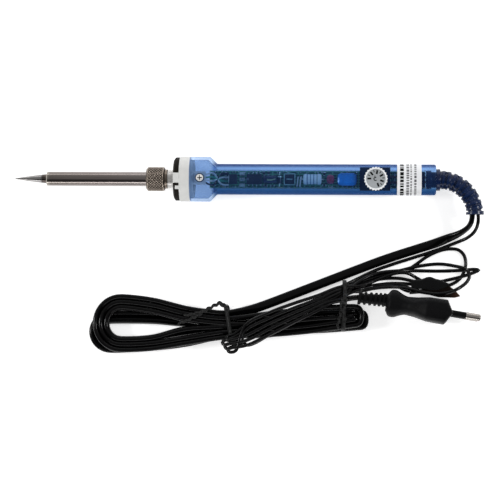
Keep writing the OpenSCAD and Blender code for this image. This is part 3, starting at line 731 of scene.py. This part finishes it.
def make_diode():
    body = [(-2.25, 0.3), (-2.3, 1), (-2.1, 1.18), (2.1, 1.18), (2.3, 1), (2.25, 0.3)]
    lead = [(-4, 0.34), (4, 0.34)]
    mark = [(1.1, 1.16), (1.1, 1.2), (1.75, 1.2), (1.75, 1.16)]
    place = towards(at_board(30.3, 0, 1.3), (0, 1, 0))
    parts = [(placed(lathe(body, 28), place), EPOXY), (placed(lathe(lead, 12), place), TIN),
             (placed(lathe(mark, 28, loop=True), place), TIN)]
    add_piece("power_diode", parts, stands_for=["rectifier_diode"])


def make_trimmer():
    """Open pale frame around a dark slotted rotor."""
    x0, x1, half, top = 32.7, 39, 3.2, 2.6
    floor = on_board((x0 + 0.1, 0.1 - half, 0.03), (x1 - 0.1, half - 0.1, 2.1), 0.15)
    bars = [((x0, -half), (x1, 0.5 - half)), ((x0, half - 0.5), (x1, half)), ((x0, -half), (x0 + 0.5, half)),
            ((x1 - 0.5, -half), (x1, half))]
    parts = [(floor, EPOXY)]
    for low, high in bars:
        parts.append((on_board((*low, 0.2), (*high, top), 0.12), PALE_FRAME))
    parts.append((standing([(0, 2.4), (0.9, 2.4), (1.25, 2.1), (1.35, 0.1)], 36, 35.85, 0, 2.1), EPOXY))
    parts.append((on_board((34.2, -0.22, 3.4), (37.5, 0.22, 3.5), 0.04), PALE_FRAME))
    add_piece("trimmer", parts, stands_for=["calibration_trimmer"])


def make_jumpers():
    parts = []
    for x in (40.1, 41.7):
        route = [(x - 0.25, -3.6, 0), (x - 0.2, -3.5, 0.9), (x, -2.6, 1.35), (x + 0.2, -0.4, 1.4),
                 (x + 0.45, 1.1, 1.2), (x + 0.5, 1.5, 0)]
        parts.append((board_wire(route, 0.3, 0.85, (1, 0, 0)), WIRE_WHITE))
    add_piece("link_wires", parts, stands_for=["jumper_wires"])


def make_resistor():
    """Power resistor: swollen ends, a waist and painted bands."""
    x0, x1, r = 43.35, 53.45, 2.98
    profile = [(x0, 0.4), (x0 + 0.05, r - 1), (x0 + 0.35, r - 0.35), (x0 + 0.9, r), (x0 + 1.9, r),
               (x0 + 2.6, r - 0.22), (x1 - 2.6, r - 0.22), (x1 - 1.9, r), (x1 - 0.9, r),
               (x1 - 0.35, r - 0.35), (x1 - 0.05, r - 1), (x1, 0.4)]
    parts = [(lying(profile, 44, 0, 3.02), RESISTOR)]
    for s, x in ((-1, x0), (1, x1)):
        route = [(x - 0.1 * s, 0, 3.02), (x + 0.6 * s, 0, 3), (x + 0.95 * s, 0, 2.4), (x + 1.0 * s, 0, 0.05)]
        parts.append((board_wire(route, 0.25, 0.75, (0, 1, 0)), TIN))
    add_piece("power_resistor", parts, stands_for=["dropper_resistor"])


def make_film_capacitors():
    """A red dipped disc and a blue box with a dipped, slightly dented skin."""
    angles = [math.pi * (k / 16 - 0.5) for k in range(17)]
    profile = [(2.1 * math.sin(t), 2.62 * max(0.02, math.cos(t)) ** 0.55) for t in angles]
    parts = [(lying(profile, 36, 58.3, 2.7), RED_FILM)] + pin_row([57.2, 59.4], -3.6, 0.25, 0.7)
    add_piece("dipped_capacitor", parts, stands_for=["red_capacitor"])
    rings = []
    box_start, box_end = 61.85, 72.95
    for x in steps(box_start, box_end, 0.6):
        t = 2 * (x - box_start) / (box_end - box_start) - 1
        shrink = max(0, 1 - abs(t) ** 5) ** 0.35
        dent = 0.12 * math.sin(2.1 * x) * math.cos(1.3 * x)
        section = oval(7.0 * max(0.12, shrink), (4.2 + dent) * max(0.12, shrink), 36, 4)
        rings.append([at_board(x, y, 2.15 + z) for y, z in section])
    parts = [(lofted(rings), BLUE_FILM)] + pin_row([62.6, 72.2], -3.9, 0.25, 0.8)
    add_piece("film_capacitor", parts, stands_for=["blue_capacitor"])


def make_heater_leads():
    """Four insulated leads, loosely twisted, from the heater to the board."""
    start = -21.8
    wires = [(WIRE_WHITE, -1.65), (WIRE_GREEN, -0.55), (WIRE_WHITE, 0.55), (WIRE_BLACK, 1.65)]
    parts = []
    for number, (material, y) in enumerate(wires):
        lift = 0.7 * math.sin(number * 2.1)
        route = [(start, y / 2, AXIS_Z + 2.4), (start + 6, y + lift, AXIS_Z + 3.2 + 0.4 * lift),
                 (start + 11, -1.1 * y, AXIS_Z + 3.4 - lift), (start + 15.5, -2.0 * y, AXIS_Z + 2.4),
                 (start + 20, 1.6 * y, AXIS_Z + 0.6), (start + 24, 1.9 * y, AXIS_Z - 0.35)]
        parts.append((tube(spline(route, 0.6), oval(1, 1, 10)), material))
    add_piece("heater_harness", parts, stands_for=["heater_leads"])


# ---------------------------------------------------------------- dial, label
def make_dial():
    """Scalloped thumb dial with a sunk face, a printed scale and a pointer."""
    r, base, top = (DIAL_HIGH.x - DIAL_LOW.x) / 2, DIAL_LOW.z, DIAL_HIGH.z
    middle = (DIAL_HIGH.x + DIAL_LOW.x) / 2
    scallops, sides = 24, 24 * 12
    face_z = top - 0.4

    def edge(a):
        along = ((a * scallops / (2 * math.pi)) % 1.0 - 0.5) * 2
        return 0.42 * max(0.0, 1 - (along / 0.75) ** 2) ** 0.8

    def ring(reach, z, share):
        return [(middle + (reach - share * edge(a)) * math.cos(a), (reach - share * edge(a)) * math.sin(a), z)
                for a in circle(sides)]

    rim = [ring(2.2, base, 0), ring(r - 0.5, base, 1), ring(r - 0.2, base + 0.15, 1), ring(r, base + 0.5, 1),
           ring(r, top - 0.35, 1), ring(r - 0.12, top - 0.1, 1), ring(r - 0.32, top, 1),
           ring(r - 0.95, top - 0.02, 0), ring(r - 1.1, top - 0.12, 0), ring(r - 1.15, face_z - 0.1, 0),
           ring(2.2, face_z - 0.12, 0)]
    face = [ring(0.05, face_z - 0.05, 0), ring(r - 1.2, face_z, 0), ring(r - 1.12, face_z - 0.2, 0),
            ring(0.05, face_z - 0.2, 0)]
    parts = [(lofted(rim, loop=True), DIAL_RIM), (lofted(face, loop=True), DIAL_FACE)]
    marks, mark_turn, hook_r = 11, 25, 0.85
    for k in range(marks):
        bold = k % 2 == 0
        turn = Matrix.Rotation(math.radians(180 - mark_turn * k), 4, "Z")
        inner, outer, half = (2.5, 4.65, 0.5) if bold else (3.5, 4.8, 0.24)
        bar = block((inner, -half, -0.02), (outer, half, 0.05), 0.03)
        parts.append((placed(bar, Matrix.Translation((middle, 0, face_z)) @ turn), INK))
    hook = []
    for t in range(60, 330, 15):
        a = math.radians(t)
        hook.append(Vector((middle - 0.2 + hook_r * math.cos(a), -0.2 + hook_r * math.sin(a), face_z + 0.03)))
    parts.append((tube(hook, oval(0.52, 0.1, 8)), INK))
    pointer = block((-0.22, 0.5, -0.02), (0.22, 1.6, 0.05), 0.03)
    parts.append((placed(pointer, Matrix.Translation((middle - 0.5, 0, face_z))), INK))
    add_piece("thumb_dial", parts, "dial", ["temperature_dial"])


def bent_bar(x0, x1, start, end, r):
    """Thin bar printed round the handle; angles are degrees from the top towards -Y."""
    rings = []
    for a in steps(start, end, 6):
        t = math.radians(a)
        rings.append([(x, -reach * math.sin(t), AXIS_Z + reach * math.cos(t))
                      for x, reach in ((x0, r), (x1, r), (x1, r + 0.03), (x0, r + 0.03))])
    return lofted(rings)


def make_label_print():
    """Generic rows of bars, with no lettering."""
    dice = random.Random(5)
    width = LABEL_HIGH.x - LABEL_LOW.x
    rows = [(0.12, 0.27, INK, 10), (0.38, 0.49, INK_GREY, 8), (0.54, 0.60, INK_GREY, 7),
            (0.70, 0.79, INK_GREY, 7)]
    edge = 100   # degrees either side of the top
    parts = []
    for low, high, material, long in rows:
        a = -edge
        while a < edge - 4:
            run = long * dice.uniform(0.5, 1.4)
            x0, x1 = LABEL_LOW.x + low * width, LABEL_LOW.x + high * width
            parts.append((bent_bar(x0, x1, a, min(a + run, edge), LABEL_R), material))
            a += run + dice.uniform(2.5, 5)
    add_piece("label_bars", parts)


# ---------------------------------------------------------------- cord boot
def make_boot():
    """Ribbed, slotted strain relief that bends a quarter turn."""
    end_x = SHELL_HIGH.x
    bend_x = end_x + 2.3
    bend_r = -BOOT_LOW.y
    length = bend_r * math.pi / 2
    pitch, sides = 2.75, 56
    first_rib, last_rib = 0.9, length - 1.7

    def radius(s, a):
        body = 5.15 - 0.45 * min(1, s / length * 1.2)
        if s < first_rib or s > last_rib:
            return body + (0.25 if s > last_rib else -0.35)
        number, place = divmod((s - first_rib) / pitch, 1)
        groove = max(0, min(1, (place - 0.5) / 0.09)) * max(0, min(1, (1.0 - place) / 0.09))
        bridge = math.cos(2 * a + math.pi * (int(number) % 2)) > 0.72
        return body - groove * (0.25 if bridge else 0.95)

    rings = []
    for s in steps(0, length, 0.17):
        t = s / bend_r
        centre = Vector((bend_x + bend_r * math.sin(t), -bend_r * (1 - math.cos(t)), AXIS_Z))
        out = Vector((math.sin(t), math.cos(t), 0))
        rings.append([centre + out * (radius(s, a) * math.cos(a)) + Vector((0, 0, radius(s, a) * math.sin(a)))
                      for a in circle(sides)])
    collar = [(end_x - 5.5, 0.1), (end_x - 5.5, 4.7), (end_x - 5.2, 5), (end_x - 2.9, 5), (end_x - 2.6, 4.8),
              (end_x - 2.55, 4.28), (end_x + 0.06, 4.28), (end_x + 0.06, 5.7), (end_x + 0.3, 5.95),
              (end_x + 1.9, 6), (end_x + 2.2, 5.85), (end_x + 2.4, 5.2), (end_x + 2.4, 0.1)]
    parts = [(lofted(rings), BOOT), (on_axis(lathe(collar, 56)), BOOT)]
    add_piece("ribbed_boot", parts, stands_for=["strain_relief_boot"], sharp=40)


# ---------------------------------------------------------------- plug
PLUG_AT = (73.7, -64.7, 17.65)
PLUG_TURN = -9.4   # degrees about Z
PLUG_FRONT = 51.6
RELIEF_END = 15.6
HALF_THICK = [(RELIEF_END, 3.9), (16.1, 5.2), (17.4, 7.4), (20.5, 7.6), (23.6, 6), (26.5, 5), (32, 5.5),
              (38.5, 6.65), (48.2, 6.85), (51.6, 0.6)]
HALF_WIDE = [(RELIEF_END, 6.2), (17, 9.2), (23.5, 9.2), (28, 10.5), (33, 14.6), (37, 17.25), (40, 17.6),
             (50.8, 17.6), (51.6, 17)]


def in_plug(shape):
    return placed(shape, Matrix.Translation(PLUG_AT) @ Matrix.Rotation(math.radians(PLUG_TURN), 4, "Z"))


def make_plug():
    """Two-pin plug body with a waist, a wedge front and a moulding seam."""
    rings = []
    stations = steps(RELIEF_END + 0.05, PLUG_FRONT - 4.2, 0.6)
    stations += [PLUG_FRONT - d for d in (3.8, 3.5, 3.2, 2.8, 2.2, 1.5, 0.9, 0.45, 0.15, 0)]
    for x in stations:
        ease = 0.8 if x < PLUG_FRONT - 4 else 0.3
        thick, wide = level(HALF_THICK, x, ease), level(HALF_WIDE, x, ease)
        power = 2.6 if x < 30 else 2.6 + min(2.4, (x - 30) * 0.3)
        rings.append([(x, y, z) for y, z in oval(2 * thick, 2 * wide, 60, power)])
    parts = [(in_plug(lofted(rings)), PLUG)]
    for s in (1, -1):
        seam = [Vector((x, 0, s * (level(HALF_WIDE, x) - 0.02))) for x in steps(18, PLUG_FRONT - 0.6, 1.2)]
        parts.append((in_plug(tube(seam, oval(0.34, 0.26, 8), side=(0, 1, 0))), PLUG))
    return add_piece("plug_shell", parts, stands_for=["plug_body"], sharp=38)


def make_plug_relief():
    """Ribbed relief behind the plug, bowed a little as it leaves the body."""
    middles = [4, 6.9, 9.6, 12, 14.2]
    collar_end, collar, rib, groove, sideways = 1.7, 0.55, 0.35, -0.5, 1.15

    def ribs(x):
        if x < collar_end:
            return collar
        nearest = min(abs(x - m) for m in middles)
        return rib if nearest < 0.62 else (groove if nearest > 0.8 and 2 < x < 15 else 0)

    rings = []
    for x in [0.1, 0.3] + steps(0.5, RELIEF_END, 0.16):
        bow = sideways * (x / RELIEF_END) ** 1.4
        swell = ribs(x) - (0.25 if x < 0.25 else 0)
        thick, wide = 3.15 + 0.02 * x + swell, 4.3 + 0.065 * x + swell
        rings.append([(x, y + bow, z) for y, z in oval(2 * thick, 2 * wide, 44, 2.4)])
    return add_piece("plug_ribs", [(in_plug(lofted(rings)), PLUG)],
                     stands_for=["plug_strain_relief"], sharp=30)


# ---------------------------------------------------------------- earth clip
CLIP_AT = (114.7, -59, 8.5)
TOOTH = 1.25


def pressed_channel(stations, half_z, wall, corner=0.7):
    """Sheet bent into a channel: stations hold x, the roof's y, the roof's inner y and the free edge's y."""
    rings = []
    for x, roof, inner, edge in stations:
        sign = 1.0 if roof >= edge else -1.0
        deep = max(0.02, min(corner, abs(roof - edge) * 0.45))
        outer_path, inner_path = [(edge, -half_z)], [(edge, wall - half_z)]
        for k in range(5):
            t = math.pi / 2 * k / 4
            outer_path.append((roof - sign * deep * (1 - math.sin(t)), -half_z + deep * (1 - math.cos(t))))
            small = max(0.01, deep - wall)
            base = inner if sign * (inner - edge) > small else edge + sign * small
            inner_path.append((base - sign * small * (1 - math.sin(t)),
                               wall - half_z + small * (1 - math.cos(t))))
        outer_path += [(y, -z) for y, z in reversed(outer_path)]
        inner_path += [(y, -z) for y, z in reversed(inner_path)]
        rings.append([Vector((x, y, z)) + Vector(CLIP_AT) for y, z in outer_path + inner_path[::-1]])
    return lofted(rings)


def jaw_stations(roof, edge, inset, teeth_from, teeth_to, sign=1):
    """Stations along a jaw for pressed_channel, with a saw edge between teeth_from and teeth_to."""
    depth, least = 0.55, 0.25
    out = []
    for x in steps(roof[-1][0], roof[0][0], 0.3):
        y_roof = level(roof[::-1], x, 0.3)
        y_edge = level(edge[::-1], x, 0.15)
        if teeth_from < x < teeth_to:
            y_edge += sign * depth * (abs(((x - teeth_from) / TOOTH) % 1 - 0.5) * 2 - 0.5)
        if sign * (y_roof - y_edge) < least:
            y_edge = y_roof - sign * least
        out.append((x, y_roof, y_roof - sign * inset, y_edge))
    return out


UPPER_ROOF = [(14.6, -4.2), (12.4, -1.6), (8, 1.7), (4, 3.4), (-1.6, 4.4), (-11.4, 3.5)]
UPPER_EDGE = [(14.6, -4.45), (8, -2.9), (1.2, -1.5), (-1.6, -0.8), (-2.6, 2.4), (-11.4, 3)]
LOWER_ROOF = [(14.6, -4.75), (12, -5.4), (3, -5.2), (-3, -3.7), (-12.6, -2.6)]
LOWER_EDGE = [(14.6, -4.3), (8, -2.9), (2.4, -1.7), (1.2, 1.3), (-1.2, 1.3), (-1.8, -0.9), (-5, -1.2),
              (-12.6, -0.8)]
GRIP_ROOF = [(8.8, 2.2), (4.2, 4.3), (0.6, 5.2), (-1, 6), (-3.2, 6), (-5, 5.1), (-7, 4.5), (-11.9, 4.3)]
GRIP_EDGE = [(8.8, 1.5), (6.5, 0), (2, -1.4), (-2, -1.3), (-4, -0.8), (-11.9, -0.3)]


def make_clip():
    """Crocodile clip: two pressed jaws with teeth, and the insulating grip on the moving one."""
    wall, first_tooth, last_tooth = 0.45, 4.5, 14.2
    upper = pressed_channel(jaw_stations(UPPER_ROOF, UPPER_EDGE, 0.5, first_tooth, last_tooth), 2.05, wall)
    add_piece("clip_jaw_upper", [(upper, JAW)], "clip_jaw", ["clip_upper_jaw"])
    bitten = jaw_stations(LOWER_ROOF, LOWER_EDGE, 0.5, first_tooth + TOOTH / 2, last_tooth, sign=-1)
    lower = pressed_channel(bitten, 2.7, wall)
    lower_jaw = add_piece("clip_jaw_lower", [(lower, JAW)], "housing", ["clip_lower_jaw"])
    stations = []
    for x in steps(-11.9, 8.8, 0.35):
        roof, edge = level(GRIP_ROOF[::-1], x, 0.9), level(GRIP_EDGE[::-1], x, 0.5)
        inner = min(roof - 0.35, max(level(UPPER_ROOF[::-1], x, 0.3) + 0.15, roof - 1.6))
        stations.append((x, roof, inner, min(edge, inner - 0.2)))
    grip = pressed_channel(stations, 3.7, 0.55, corner=1.3)
    add_piece("clip_grip_cover", [(grip, GRIP)], "clip_jaw", ["clip_grip"])
    return lower_jaw


# ---------------------------------------------------------------- wire ties
TIE_LOOPS = {
    "hank_wire_tie": [
        (1, -69.6, 11.2), (1.4, -71.6, 12.1), (2.2, -76, 12.3), (3.2, -82, 12.3), (4.2, -86.6, 12.1),
        (4.6, -88.8, 10.6), (4.6, -89.2, 5), (4.2, -88, 0.75), (3, -80, 0.5), (1.6, -71, 0.6),
        (1, -69.1, 3)],
    "bundle_wire_tie": [
        (66.2, -55.4, 10.2), (66.4, -57.4, 12.9), (66.6, -61.5, 13.6), (66.7, -64, 17.2), (66.7, -65.8, 18.5),
        (66.6, -67.7, 17.2), (66.2, -69.8, 12.8), (66, -75, 12), (65.8, -81.2, 11.7), (65.7, -82.8, 9.4),
        (65.7, -82.9, 3), (65.8, -81.4, 0.6), (66, -70, 0.5), (66.1, -58, 0.5), (66.2, -55.5, 2.6)]}
TIE_ENDS = {
    "hank_wire_tie": [
        [(2.4, -72, 12.6), (0.2, -69, 12.6), (-2, -67.8, 12), (-4.2, -68.8, 12.6), (-9, -71.4, 13.1),
         (-14.5, -73.6, 13.1), (-21.7, -75.2, 12.7)],
        [(1.8, -71.6, 12.9), (-0.4, -69.6, 13.2), (-2.4, -68.8, 13.2), (-4.6, -69.6, 12.9), (-9.2, -72, 12.9),
         (-16, -75.9, 12.8), (-25.2, -79.9, 12.4)]],
    "bundle_wire_tie": [
        [(66.9, -63.4, 18.4), (66, -66, 19.6), (64.6, -68.2, 16.4), (64.6, -71.2, 12.9), (63.6, -76, 12.5),
         (62.4, -81.4, 11.9)],
        [(66.3, -63.2, 18.6), (67.4, -66.2, 19.2), (66.6, -69.4, 14.6), (65.6, -72, 13.2), (66.6, -76, 12.5),
         (65.9, -80.6, 12.4)]]}


def helix_round(path, reach, pitch, phase):
    """Path wound round another at an even pitch and reach."""
    out, travelled = [], 0.0
    for i, p in enumerate(path):
        before, after = path[max(i - 1, 0)], path[min(i + 1, len(path) - 1)]
        run = (after - before).normalized()
        travelled += (p - before).length
        side = run.cross(Vector((0, 0, 1))).normalized()
        up = side.cross(run)
        a = 2 * math.pi * travelled / pitch + phase
        out.append(p + (side * math.cos(a) + up * math.sin(a)) * reach)
    return out


def make_ties():
    """Paper-covered wire ties: a flat band and two twisted ends each."""
    twist_reach, twist_pitch = 0.32, 3.4
    band = [(-1.15, 0), (-1, 0.2), (-0.35, 0.16), (0, 0.36), (0.35, 0.16), (1, 0.2), (1.15, 0),
            (1, -0.2), (0.35, -0.16), (0, -0.36), (-0.35, -0.16), (-1, -0.2)]
    for name, node in (("hank_wire_tie", "hank_tie"), ("bundle_wire_tie", "bundle_tie")):
        points = TIE_LOOPS[name]
        closed = spline(points + points[:1], 0.7)[:-1]
        parts = [(tube(closed, band, side=(1, 0, 0), loop=True), TIE)]
        for number, route in enumerate(TIE_ENDS[name]):
            path = helix_round(spline(route, 0.35), twist_reach, twist_pitch, math.pi * number)
            parts.append((tube(path, oval(1.35, 0.7, 10)), TIE))
        add_piece(name, parts, stands_for=[node])


for make in (make_nut, make_screw, make_solder, make_small_parts, make_lead_anchor, make_triac, make_chip,
             make_timing_capacitor, make_diode, make_trimmer, make_jumpers, make_resistor,
             make_film_capacitors, make_heater_leads, make_dial, make_label_print, make_boot, make_ties):
    make()


# ---------------------------------------------------------------- mains cord
LEAD_W, LEAD_T = 5.2, 3.0
MAINS_ROUTE = [
    (135.9, -19, 12.4, 88), (135.6, -22.2, 11.7, 88), (134.2, -25.2, 9.9, 85), (131.5, -27.6, 7.6, 78),
    (127.8, -29.6, 5.2, 64), (123.3, -31.4, 3.3, 40), (117, -33.9, 1.8, 12), (107, -37.2, 1.6, 0),
    (96.5, -40.6, 1.6, 0), (85.5, -44.4, 1.6, 0), (74.5, -48.6, 1.6, 0), (63.5, -52.9, 1.6, 0),
    (52.5, -57.2, 1.6, 0), (41.5, -61.5, 1.6, 0), (32, -65.2, 1.9, 0), (23.5, -68.5, 3.1, 2),
    (15.5, -71.3, 4.9, 15), (7.5, -73.1, 6.9, 45), (0, -73.7, 8.1, 75), (-8, -73, 8.4, 80)]
TAIL_ROUTE = [
    (15, -79.4, 9, 90), (25, -77.8, 10.8, 55), (34, -75.4, 12.6, 10), (42, -72.4, 13, 0),
    (48, -70.1, 12.8, 12), (54, -68.2, 12.4, 55), (60, -66.9, 12.8, 85), (66, -65.8, 14.8, 90),
    (70.5, -65, 16.9, 90), (73.8, -64.7, 17.6, 90)]
# Each turn: its layer, the centre and radii of its left bend, its Y at three stations on the way to
# that bend, and its Y at three on the way out
IN_X, OUT_X = (2, -20, -40), (-40, -22, 2)
TURNS = [
    (1, (-57, -79.5), (14, 14.5), (-73.6, -71.4, -66.7), (-93.2, -90.2, -86.5)),
    (1, (-57, -79.5), (11, 11.5), (-76.6, -74.4, -69.8), (-90.2, -87.3, -83.6)),
    (0, (-63, -84.6), (7, 6.6), (-77.6, -79.3, -78), (-88.2, -85.2, -81.6)),
    (0, (-63, -84.3), (10.2, 9.8), (-74.6, -76.4, -74.6), (-92.8, -90.6, -85.6)),
    (1, (-57, -79.5), (8, 8.6), (-79.6, -77.4, -72.9), (-87.2, -82.6, -80.7))]
# Right ends: how far the fold reaches, its lower and upper Y, and Y at two stations before and after it
FOLD_X = (25, 48)
FOLDS = [
    (77, -79.6, -69.7, (-85.2, -83), (-70.9, -73.9)),
    (75.2, -76.6, -72.7, (-82.2, -80), (-73.9, -76.8)),
    (79.2, -80.6, -72.9, (-82.4, -82.6), (-74, -75.4)),
    (74, -77.7, -75.8, (-85, -80), (-76.9, -79.6))]
HANK_Z = (3.55, 8.85)   # Centre heights of the two layers
LEAN = (62, 80)   # Twist of the strands in the lower and the upper layer


def sag(z, layer):
    """Away from the ties the lower layer lies on the bench, and the upper one on it."""
    return z - 0.5 if layer == 0 else z - 0.75


def hank_turn(index):
    layer, (cx, cy), radii, way_in, way_out = TURNS[index]
    z = HANK_Z[layer]
    low = sag(z, layer)
    tied_in, *free_in = zip(IN_X, way_in)
    *free_out, tied_out = zip(OUT_X, way_out)
    lean = LEAN[layer]
    start = [] if index == 0 else [(*tied_in, z, lean)]
    bend = arc(cx, cy, radii, 90, 270, 12, low, low, lean)
    return (start + [(x, y, low, lean) for x, y in free_in] + bend
            + [(x, y, low, lean) for x, y in free_out] + [(*tied_out, z, lean)])


def blunt_end(cx, cy, radii, z_a, z_b, lean, count=10):
    """Right end of a fold, flatter than a half circle."""
    out = []
    for k in range(count + 1):
        a = math.pi * (k / count - 0.5)
        c, s = max(0, math.cos(a)) ** 0.75, math.sin(a)
        y = cy + radii[1] * math.copysign(abs(s) ** 0.75, s)
        out.append((cx + radii[0] * c, y, z_a + (z_b - z_a) * k / count, lean))
    return out


def right_fold(index):
    reach, y_a, y_b, before, after = FOLDS[index]
    z_a, z_b = HANK_Z[TURNS[index][0]], HANK_Z[TURNS[index + 1][0]]
    high = (y_b - y_a) / 2
    lean_a, lean_b = LEAN[TURNS[index][0]], LEAN[TURNS[index + 1][0]]
    first = [(x, y, z_a, lean_a) for x, y in zip(FOLD_X, before)]
    last = [(x, y, z_b, lean_b) for x, y in zip(FOLD_X[::-1], after)]
    wide = max(2.2, 0.8 * high)
    return first + blunt_end(reach - wide - 1.5, (y_a + y_b) / 2, (wide, high), z_a, z_b, lean_a) + last


def mains_path():
    route = list(MAINS_ROUTE)
    for index in range(len(TURNS)):
        route += hank_turn(index)
        if index < len(FOLDS):
            route += right_fold(index)
    return spline(route + TAIL_ROUTE, 1.4)


# ---------------------------------------------------------------- earth cord
EARTH_D = 2.0
EARTH_ROUTE = [
    (139.1, -19, 12.4), (139.2, -21.8, 12), (138.6, -25.4, 10), (136.8, -28.7, 7.2), (133.4, -31.4, 4.4),
    (129.6, -33.1, 2.4), (125, -34.9, 1.3), (120, -36.9, 1.1), (115, -38.7, 1.1), (110, -40.4, 1.1),
    (105, -42, 1.1), (100, -43.6, 1.1), (95, -45.2, 1.1), (90, -46.9, 1.2), (85, -48.7, 1.7),
    (80, -50.9, 3.2), (74, -53.9, 5.6), (68, -56.9, 8.2)]
CLIP_ROUTE = [
    (76, -58.6, 6.4), (84, -57.8, 5), (88.5, -57.9, 5.6), (93, -58.1, 6.9), (96.5, -58.9, 7.9),
    (99.3, -60.3, 8.4), (101.9, -61.1, 8.5)]
# Loops to the right of the second tie
LOOPS = [
    [(75, -54.8, 5), (86, -51.6, 1.6), (95, -50.6, 1.1), (100, -49.6, 1.1), (105, -46.4, 1.1),
     (112, -41.4, 1.1), (118, -38.6, 1.1), (124, -37.3, 1.1), (128.9, -37.9, 1.1), (132, -40.9, 1.1),
     (132.9, -46, 1.1), (132, -49.8, 1.1), (129.5, -54, 1.1), (124, -57.3, 1.1), (113, -58, 1.1),
     (102, -56.8, 1.1), (92, -56.6, 1.1), (82, -57.8, 2.6), (74, -59.9, 5.6)],
    [(75, -56, 6.8), (86, -52.4, 3.4), (96.5, -49.6, 3.1), (107.5, -46.9, 1.6), (118.5, -45.7, 1.3),
     (127, -46.9, 3.4), (132.2, -48.4, 5.2), (134.4, -50.4, 4.2), (134.6, -53.2, 6), (132.5, -56.4, 9.8),
     (128.4, -59.4, 12.8), (123.6, -61.4, 13.8), (117, -62.4, 13.9), (109, -61.6, 13.9), (103.5, -60.2, 13.9),
     (98, -59, 12.2), (90, -58.8, 8.8), (82, -59.6, 7.2), (74, -61.3, 7.4)],
    [(75, -55.4, 8.8), (85, -51, 5.2), (96, -49.7, 5), (104, -49.5, 2.2), (118.5, -49.6, 1.1),
     (128, -49.3, 2.4), (133, -49, 3.1), (137.6, -48.6, 3.1), (140, -49, 3.2), (138.4, -49.9, 3.5),
     (134, -51.6, 3.2), (129.5, -53, 3.1), (124, -54.3, 1.4), (116, -55.9, 1.1), (106, -55.6, 3),
     (96, -53.8, 3.2), (86, -54.2, 3.4), (75, -57.2, 6.4)],
    [(75, -58.2, 9.2), (86, -54, 5.4), (95, -50.9, 5.2), (100.4, -50.9, 5), (105, -53, 3.1),
     (109.5, -55.8, 3), (112, -58.2, 3), (110.4, -60.2, 3), (105, -60.4, 2.8), (98, -57.6, 3.6),
     (90, -56.8, 3.6), (82, -58.2, 5), (74, -60.4, 9.2)]]
# Lane and layer of each pass between the left folds and the second tie
GOING = [(0, 0), (1, 0), (2, 0), (3, 0), (4, 0)]
COMING = [(2, 1), (3, 1), (4, 1), (0, 1), (1, 1)]
# Left folds: the X and Y of each fold's end
LEFT_ENDS = [(1.5, -87.4), (-0.4, -89.8), (1, -92), (2.6, -93.8), (5, -90)]
# The hank's upper edge and its width towards its lower edge, from left to right
SPINE = [(12, -80.6, 10.5), (25, -73.4, 11.4), (38, -68.4, 9.8), (52, -63.6, 7.6), (64, -58.9, 5.4)]


def pass_points(lane, layer, leftwards):
    """One pass on top of the mains hank: it climbs over the mains tail and drops to the second tie."""
    base, layer_step, climb, drop, skew = 13.6, 2.05, 1.9, 4.6, 0.12
    out = []
    for x, y, width in SPINE:
        over_tail = math.exp(-((x - 40) / 11) ** 2)
        slope = max(0, min(1, (x - 46) / 20))
        z = base + layer_step * layer + climb * over_tail - drop * slope
        aside = width * lane / 4
        out.append((x + skew * aside, y - aside, z))
    return out[::-1] if leftwards else out


def left_fold(index):
    x, y = LEFT_ENDS[index]
    return [(x + 4.2, y + 2.1, 13.4), (x + 0.9, y + 1.1, 13.2), (x, y, 13.8), (x + 0.9, y - 1.1, 14.4),
            (x + 4.2, y - 0.6, 15.2)]


def earth_path():
    route = list(EARTH_ROUTE)
    for index, (going, coming) in enumerate(zip(GOING, COMING)):
        route += pass_points(*going, leftwards=True) + left_fold(index)
        route += pass_points(*coming, leftwards=False)
        if index < len(LOOPS):
            route += LOOPS[index]
    return spline(route + CLIP_ROUTE, 0.8)


def make_cords(plug_parts, clip_jaw):
    mains = mains_path()
    cable = add_piece("mains_cable", [(tube(mains, oval(LEAD_W, LEAD_T, 16, 2.6)), PVC)], "housing",
                      ["mains_lead", "mains_hank", "mains_tail"], sharp=60)
    earth = earth_path()
    wire = add_piece("earth_wire", [(tube(earth, oval(EARTH_D, EARTH_D, 10)), PVC_THIN)], "housing",
                     ["earth_lead", "earth_hank", "earth_bundle", "earth_loops", "earth_tail"],
                     sharp=60)


make_cords([make_plug(), make_plug_relief()], make_clip())
